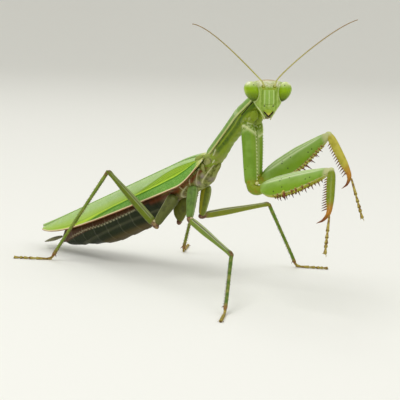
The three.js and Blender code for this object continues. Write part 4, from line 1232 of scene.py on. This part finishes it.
    # the tibia is deeper than wide and hooks over into a claw, with combs of thorns on the side that shuts
    count, across = 130, 40
    route = smooth_rows([
        [-0.6, -0.1, 0.4, 0.4], [0.2, 0.05, 0.76, 0.6], [1.3, 0.12, 0.93, 0.7], [2.6, 0.14, 0.96, 0.72],
        [4.4, 0.12, 0.94, 0.74], [7.0, 0.08, 0.88, 0.68], [9.4, 0.0, 0.62, 0.52], [10.6, -0.3, 0.5, 0.44],
        [11.3, -1.0, 0.36, 0.34], [11.7, -2.0, 0.22, 0.22], [11.65, -3.35, 0.02, 0.02]], count)
    ahead = np.gradient(route[:, :2], axis=0)
    ahead /= np.linalg.norm(ahead, axis=1)[:, None]
    angle = np.arange(across) * 2 * math.pi / across
    rings = np.zeros((count, across, 3))
    rings[..., 0] = route[:, :1] - ahead[:, 1:2] * route[:, 2:3] * np.sin(angle)
    rings[..., 1] = route[:, 3:4] * np.cos(angle)
    rings[..., 2] = route[:, 1:2] + ahead[:, 0:1] * route[:, 2:3] * np.sin(angle)
    tibia_skin = skin(rings, tibia)
    far = np.concatenate([[0], np.cumsum(np.linalg.norm(np.diff(route[:, :2], axis=0), axis=1))])
    tibia_skin["own"][:-2, 0] = np.repeat(far, across)
    tibia_parts = [tibia_skin]
    for k in range(13):
        for row in (-1, 1):
            x = 1.8 + 0.64 * k
            drop = float(np.interp(x, route[:90, 0], route[:90, 2])) * 0.8
            foot = tibia @ Vector((x, row * 0.36, 0.1 - drop))
            aim = tibia_turn @ Vector((0.55, row * 0.55, -1))
            wart = lump(Matrix.Translation(foot), (0, 0, 0), (0.2, 0.2, 0.2), across=10, count=7, mark=0.9)
            wart["own"][:, 0] = x
            tibia_parts.append(wart)
            thorns.append(spike(foot, aim, 0.75 + 0.045 * k, 0.15))
    foretibia_amber = foretibia_paint(f"foretibia_{name}_amber", *foretibia_tints[name])
    build(f"foretibia_{name}_skin", tibia_parts, [foretibia_amber], [f"foretibia_{name}"])
    build(f"foreleg_{name}_thorns", thorns, [thorn_brown])

    # the foot: five joints, each widening to its end, and two small claws
    rows = []
    for start, end in zip(tarsus_joints, tarsus_joints[1:]):
        rows += [
            [start + 0.012, 0.2, 0.2, -0.2], [end - 0.06, 0.3, 0.32, -0.32], [end - 0.02, 0.34, 0.4, -0.4],
        ]
    rows += [[1.0, 0.12, 0.12, -0.12]]
    rings, angle = limb_rings(fore_tarsus_length - 0.3, rows, 200, 24)
    rings[..., 0] += 0.2
    share = rings[..., 0] / fore_tarsus_length
    dark = 0.6 * np.clip(sum(ridge(share - at, 0.008) for at in tarsus_joints[1:]), 0, 1)
    under_spots = (0.5 + 0.5 * np.sin(share * 70)) ** 3 * np.clip(-np.sin(angle)[None, :], 0, 1)
    foot_parts = [skin(rings, tarsus, mark=np.clip(dark + 0.8 * under_spots, 0, 1))]
    for row in (-1, 1):
        foot = tarsus @ Vector((fore_tarsus_length - 0.25, row * 0.12, 0))
        foot_parts.append(spike(foot, tarsus.to_3x3() @ Vector((0.9, row * 0.9, 0.2)), 0.75, 0.1,
                                tarsus.to_3x3() @ Vector((0, 0, -0.35))))
    build(f"foretarsus_{name}_skin", foot_parts, [foot_brown], [f"foretarsus_{name}"])

# ---- walking legs ----
# Four long thin legs carry the body: coxa, dark little trochanter, keeled femur, tibia with fine
# bristles and two end spurs, and a five-jointed foot that lies flat on the floor.
walking = {
    "mid_right": {"coxa": (-52, -61), "foot": (29.1, -21.5), "lean": -63, "toe": -52},
    "mid_left": {"coxa": (158, -71), "foot": (2.4, 30.4), "lean": 0, "toe": 35},
    "hind_right": {"coxa": (-101.8, -57.5), "foot": (-39, -11.5), "lean": 8, "toe": -140},
    "hind_left": {"coxa": (178, -62), "foot": (-28.2, 22.3), "lean": 16, "toe": 128},
}
walking_bases = {"mid": (-3.6, 2.3, -6.3), "hind": (-9.8, 2.9, -6.3)}
walking_lengths = {
    "mid": {"coxa": 7.9, "femur": 19.2, "tibia": 17.4, "tarsus": 8.0, "thick": 0.85},
    "hind": {"coxa": 8.2, "femur": 20.0, "tibia": 27.0, "tarsus": 9.5, "thick": 1.0},
}
ankle_height = 0.95


def knee_between(hip, ankle, femur_length, tibia_length, lean):
    line = ankle - hip
    distance = line.length
    line.normalize()
    along = (femur_length**2 - tibia_length**2 + distance**2) / (2 * distance)
    away = math.sqrt(femur_length**2 - along**2)
    up = (Vector((0, 0, 1)) - line * line.z).normalized()
    turn = math.radians(lean)
    return hip + line * along + up * away * math.cos(turn) + line.cross(up) * away * math.sin(turn)


def leg_paints(name, hip_base, femur_base, femur_low, tibia_base, striped):
    """The four finishes of one walking leg."""
    hip_paint = Paint(f"{name}_coxa_green", hip_base, roughness=0.45, glow=0.15)
    hip_paint.coat(hip_paint.blotches(0.7, 0.5, 0.66), tuple(c * 0.78 for c in hip_base), 0.75)
    if name.startswith("hind"):
        hip_paint.coat(hip_paint.both(hip_paint.stripe(-122, 14, 10), hip_paint.blotches(0.8, 0.35, 0.55)),
                       (140, 126, 132), 0.7)
    if name == "mid_left":
        hip_paint.coat(hip_paint.stripe(-172, 16, 12), (150, 146, 12), 0.85)
    hip_paint.coat(hip_paint.mark, (176, 186, 132), 0.85)
    hip_paint.grain(5.0, 0.04)
    pivot = Paint(f"{name}_trochanter_brown", (108, 76, 60), roughness=0.42, glow=0.1)
    pivot.coat(pivot.blotches(1.5, 0.45, 0.6), (156, 136, 86), 0.7)
    pivot.coat(pivot.mark, (214, 208, 156), 0.8)
    pivot.grain(7.0, 0.03)
    thigh = Paint(f"{name}_femur_green", femur_base, roughness=0.4, glow=0.15)
    along = thigh.part(thigh.own, "X")
    thigh.coat(thigh.blotches(0.6, 0.42, 0.66), femur_low, 0.5)
    thigh.coat(thigh.step(thigh.part(thigh.about, "Z"), -0.2, -0.75), femur_low)
    for turn in (60, 120):
        thigh.coat(thigh.both(thigh.stripe(turn, 9, 5), thigh.step(along, 1.0, 2.5)), (98, 82, 92), striped)
    thigh.coat(thigh.mark, (206, 214, 170), striped)
    thigh.coat(thigh.step(thigh.part(thigh.about, "X"), 0.92, 0.975), (112, 78, 54), 0.9)
    thigh.coat(thigh.step(thigh.part(thigh.about, "X"), 0.08, 0.02), (136, 104, 84), 0.8)
    thigh.coat(thigh.specks(1.2, 0.12, 0.1), (58, 50, 26), 0.7)
    thigh.grain(5.0, 0.03)
    shin = Paint(f"{name}_tibia_green", tibia_base, roughness=0.4, glow=0.12)
    share = shin.part(shin.about, "X")
    shin.coat(shin.blotches(0.7, 0.42, 0.66), (160, 156, 80), 0.6)
    shin.coat(shin.stripe(90, 30, 20), tuple(min(255, c * 1.2) for c in tibia_base), 0.6)
    shin.coat(shin.step(share, 0.07, 0.02), (124, 84, 54), 0.9)
    shin.coat(shin.step(share, 0.88, 0.99), (148, 104, 62), 0.9)
    shin.coat(shin.mark, (206, 204, 138), 0.7)
    shin.grain(6.0, 0.025)
    return [hip_paint.done(), pivot.done(), thigh.done(), shin.done()]


leg_colours = {
    "mid_right": ((104, 134, 60), (112, 136, 48), (128, 146, 24), (80, 112, 32), 0.9),
    "mid_left": ((112, 124, 36), (126, 134, 46), (134, 142, 22), (98, 132, 36), 0.8),
    "hind_right": ((92, 98, 46), (100, 116, 14), (88, 102, 6), (104, 126, 44), 0.35),
    "hind_left": ((100, 104, 34), (118, 128, 30), (108, 116, 20), (110, 130, 44), 0.35),
}
coxa_shapes = {
    "mid": [[0.02, 0.7, 1.0, -0.9], [0.12, 0.95, 1.25, -1.1], [0.3, 1.0, 1.3, -1.2], [0.7, 0.85, 1.0, -0.95],
            [0.9, 0.72, 0.78, -0.78], [0.98, 0.4, 0.45, -0.45]],
    "hind_right": [[0.02, 0.7, 1.7, -0.8], [0.15, 1.0, 2.3, -0.95], [0.3, 1.0, 2.1, -0.95],
                   [0.7, 0.9, 1.2, -0.95], [0.9, 0.72, 0.85, -0.78], [0.98, 0.4, 0.45, -0.45]],
    "hind_left": [[0.02, 0.7, 1.0, -0.9], [0.2, 0.9, 1.1, -1.9], [0.36, 1.0, 1.1, -2.9],
                  [0.7, 0.9, 0.95, -3.0], [0.9, 0.72, 0.8, -2.0], [0.98, 0.4, 0.45, -0.8]],
}
for name, pose in walking.items():
    pair, side_name = name.split("_")
    sizes = walking_lengths[pair]
    thick = sizes["thick"]
    base_x, base_y, base_z = walking_bases[pair]
    base = trunk @ Vector((base_x, sides[side_name] * base_y, base_z))
    coxa_aim = heading(*pose["coxa"])
    hip = base + coxa_aim * sizes["coxa"]
    footprint = floor_point + Vector((*pose["foot"], 0))
    ankle = footprint + Vector((0, 0, ankle_height))
    knee = knee_between(hip, ankle, sizes["femur"], sizes["tibia"], pose["lean"])
    coxa = lying(base, coxa_aim, (1, 0, 0))
    femur = lying(hip, knee - hip, (0, 0, 1))
    tibia = lying(knee, ankle - knee, knee - hip)
    tarsus = lying(footprint, heading(pose["toe"], 0), (0, 0, 1))

    shape = coxa_shapes.get(name) or coxa_shapes["mid"]
    rings, angle = limb_rings(sizes["coxa"], shape, 90, 48, power=2.4)
    keels = edges(angle, (-138,), 7) if name.startswith("hind") else edges(angle, (90, -110), 7)
    raised(rings, angle, 0.12 * keels - 0.07 * edges(angle, (-100, 150), 14))
    leg_parts = [skin(rings, coxa, mark=0.7 * keels)]
    leg_parts.append(lump(femur, (0.25, 0, -0.05), (1.15, 0.66, 0.72), across=30, count=24, material=1))
    leg_parts.append(lump(femur, (0.9, 0.0, 0.55), (0.5, 0.4, 0.3), material=1, mark=0.8))

    rings, angle = limb_rings(sizes["femur"], [
        [0.02, 0.3, 0.3, -0.3], [0.05, 0.58, 0.65, -0.65], [0.09, 0.8 * thick, 0.92 * thick, -0.92 * thick],
        [0.3, 0.8 * thick, 0.95 * thick, -0.95 * thick], [0.7, 0.58 * thick, 0.68 * thick, -0.68 * thick],
        [0.9, 0.46, 0.5, -0.5], [0.96, 0.52, 0.6, -0.58], [0.99, 0.4, 0.45, -0.4], [1.0, 0.15, 0.2, -0.15]],
        200, 72, power=2.4)
    share = np.linspace(0, 1, 200)[:, None]
    middle = ramp(share, 0.06, 0.12) * (1 - ramp(share, 0.86, 0.95))
    keels = edges(angle, (42, 82, 98, 138), 6) * middle
    lower = edges(angle, (-60, -120), 7) * middle
    raised(rings, angle, 0.08 * keels + 0.06 * lower - 0.06 * edges(angle, (62, 118, 0, 180), 8) * middle)
    leg_parts.append(skin(rings, femur, material=2, mark=np.clip(0.85 * keels + 0.45 * lower, 0, 1)))
    for lobe in (-1, 1):
        knee_lobe = (sizes["femur"] - 0.35, lobe * 0.36, -0.1)
        leg_parts.append(lump(femur, knee_lobe, (0.62, 0.18, 0.42), material=2))

    length = sizes["tibia"]
    sag = smooth_rows([
        [0.0, 0.05, 0.3], [0.5, -0.02, 0.44], [1.4, -0.05, 0.44], [length * 0.4, 0.0, 0.38],
        [length * 0.85, 0.05, 0.38], [length - 0.7, 0.0, 0.42], [length - 0.1, -0.05, 0.3]], 200)
    girth = sag[:, 2]
    shin = tube([tibia @ Vector((x, 0, z)) for x, z, radius in sag], girth, across=28, material=3)
    leg_parts.append(shin)
    bristles = []
    for k, x in enumerate(np.arange(2.0, length - 1.2, 0.62)):
        for turn in (-150, -100, -60, 20, 160):
            around = math.radians(turn + 14 * math.sin(k * 2.4))
            out = Vector((0.8, math.cos(around), math.sin(around)))
            foot_x = x + 0.2 * math.sin(k * 5.1 + turn)
            foot = tibia @ Vector((foot_x, 0.33 * math.cos(around), 0.33 * math.sin(around)))
            bristles.append(spike(foot, tibia.to_3x3() @ out, 0.42, 0.035, across=5, count=4, material=1))
    for row in (-1, 1):
        foot = tibia @ Vector((length - 0.9, row * 0.28, -0.2))
        spur_aim = tibia.to_3x3() @ Vector((0.8, row * 0.5, -0.45))
        bristles.append(spike(foot, spur_aim, 0.9, 0.13, across=10, material=1))
    build(f"{name}_leg_skin", leg_parts, leg_paints(name, *leg_colours[name]),
          [f"{name}_coxa", f"{name}_femur", f"{name}_tibia"])

    rows = []
    for start, end in zip(tarsus_joints, tarsus_joints[1:]):
        rows += [
            [start + 0.012, 0.22, 0.52, 0.14], [end - 0.05, 0.34, 0.66, 0.02], [end - 0.022, 0.36, 0.7, 0.0],
        ]
    rows += [[1.0, 0.15, 0.3, 0.1]]
    rings, angle = limb_rings(sizes["tarsus"], rows, 200, 28, power=2.4)
    share = rings[..., 0] / sizes["tarsus"]
    dark = 0.6 * np.clip(sum(ridge(share - at, 0.008) for at in tarsus_joints[1:]), 0, 1)
    foot_parts = [skin(rings, tarsus, mark=dark)]
    heel = bent(ankle - (ankle - knee).normalized() * 0.7, footprint + Vector((0, 0, 0.45)),
                tarsus @ Vector((1.2, 0, 0.38)), 14)
    foot_parts.append(tube(heel, np.linspace(0.32, 0.28, 14), across=20))
    for row in (-1, 1):
        claw = tarsus @ Vector((sizes["tarsus"] - 0.35, row * 0.14, 0.3))
        foot_parts.append(spike(claw, tarsus.to_3x3() @ Vector((0.5, row * 0.9, 0.2)), 0.62, 0.1,
                                Vector((0, 0, -0.22)), material=1))
    build(f"{name}_tarsus_skin", foot_parts + bristles, [foot_brown, thorn_brown],
          [f"{name}_tarsus"])

# ---- studio ----
# A pale floor that curves up into a wall all round, three soft boxes and an even pale room light.
# The camera looks a little down on the animal from her front right.
floor_radius, wall_reach, wall_height = 0.8, 0.6, 0.5
bowl = [(0.0, 0.0), (floor_radius, 0.0)]
for turn in np.linspace(0, math.pi / 2, 25)[1:]:
    bowl.append((floor_radius + wall_reach * math.sin(turn), wall_height * (1 - math.cos(turn))))
points, faces, turns = [], [], 72
for radius, height in bowl:
    for k in range(turns):
        a = k * 2 * math.pi / turns
        points.append((radius * math.cos(a), radius * math.sin(a), height))
for ring in range(len(bowl) - 1):
    for k in range(turns):
        j = (k + 1) % turns
        faces.append((ring * turns + k, ring * turns + j, (ring + 1) * turns + j, (ring + 1) * turns + k))
backdrop_mesh = bpy.data.meshes.new("backdrop")
backdrop_mesh.from_pydata(points, [], faces)
backdrop_mesh.polygons.foreach_set("use_smooth", [True] * len(faces))
backdrop = bpy.data.objects.new("backdrop", backdrop_mesh)
bpy.context.scene.collection.objects.link(backdrop)
paper = bpy.data.materials.new("paper")
paper.use_nodes = True
paper.node_tree.nodes["Principled BSDF"].inputs["Base Color"].default_value = linear(240, 240, 235)
paper.node_tree.nodes["Principled BSDF"].inputs["Roughness"].default_value = 0.9
paper.node_tree.nodes["Principled BSDF"].inputs["Specular IOR Level"].default_value = 0.1
backdrop_mesh.materials.append(paper)

room = bpy.data.worlds.new("room")
room.use_nodes = True
room.node_tree.nodes["Background"].inputs["Color"].default_value = linear(250, 249, 244)
room.node_tree.nodes["Background"].inputs["Strength"].default_value = 0.67
bpy.context.scene.world = room


def soft_box(name, azimuth, elevation, distance, size, watts):
    light = bpy.data.lights.new(name, "AREA")
    light.shape, light.size, light.energy = "DISK", size, watts
    lamp = bpy.data.objects.new(name, light)
    away = heading(azimuth, elevation)
    lamp.location = away * distance + Vector((0, 0, 0.03))
    lamp.rotation_euler = away.to_track_quat("Z", "Y").to_euler()
    bpy.context.scene.collection.objects.link(lamp)


soft_box("key", -95, 62, 0.6, 0.4, 1.35)
soft_box("fill", 10, 35, 0.7, 0.4, 0.52)
soft_box("rim", 150, 50, 0.7, 0.3, 0.6)

camera = bpy.data.objects.new("camera", bpy.data.cameras.new("camera"))
camera.data.angle = math.radians(15.0)
camera.data.clip_start, camera.data.clip_end = 0.01, 10
right, upward = Vector((0.7052, 0.7084, 0.0309)), Vector((-0.1212, 0.0774, 0.9896))
back = Vector((0.6986, -0.7016, 0.1404))
stand = (floor_point + right * 0.16 + upward * 18.43 + back * 348.95) * METRES
camera.matrix_world = Matrix.Translation(stand) @ Matrix((right, upward, back)).transposed().to_4x4()
bpy.context.scene.collection.objects.link(camera)
bpy.context.scene.camera = camera
bpy.context.scene.view_settings.view_transform = "Standard"
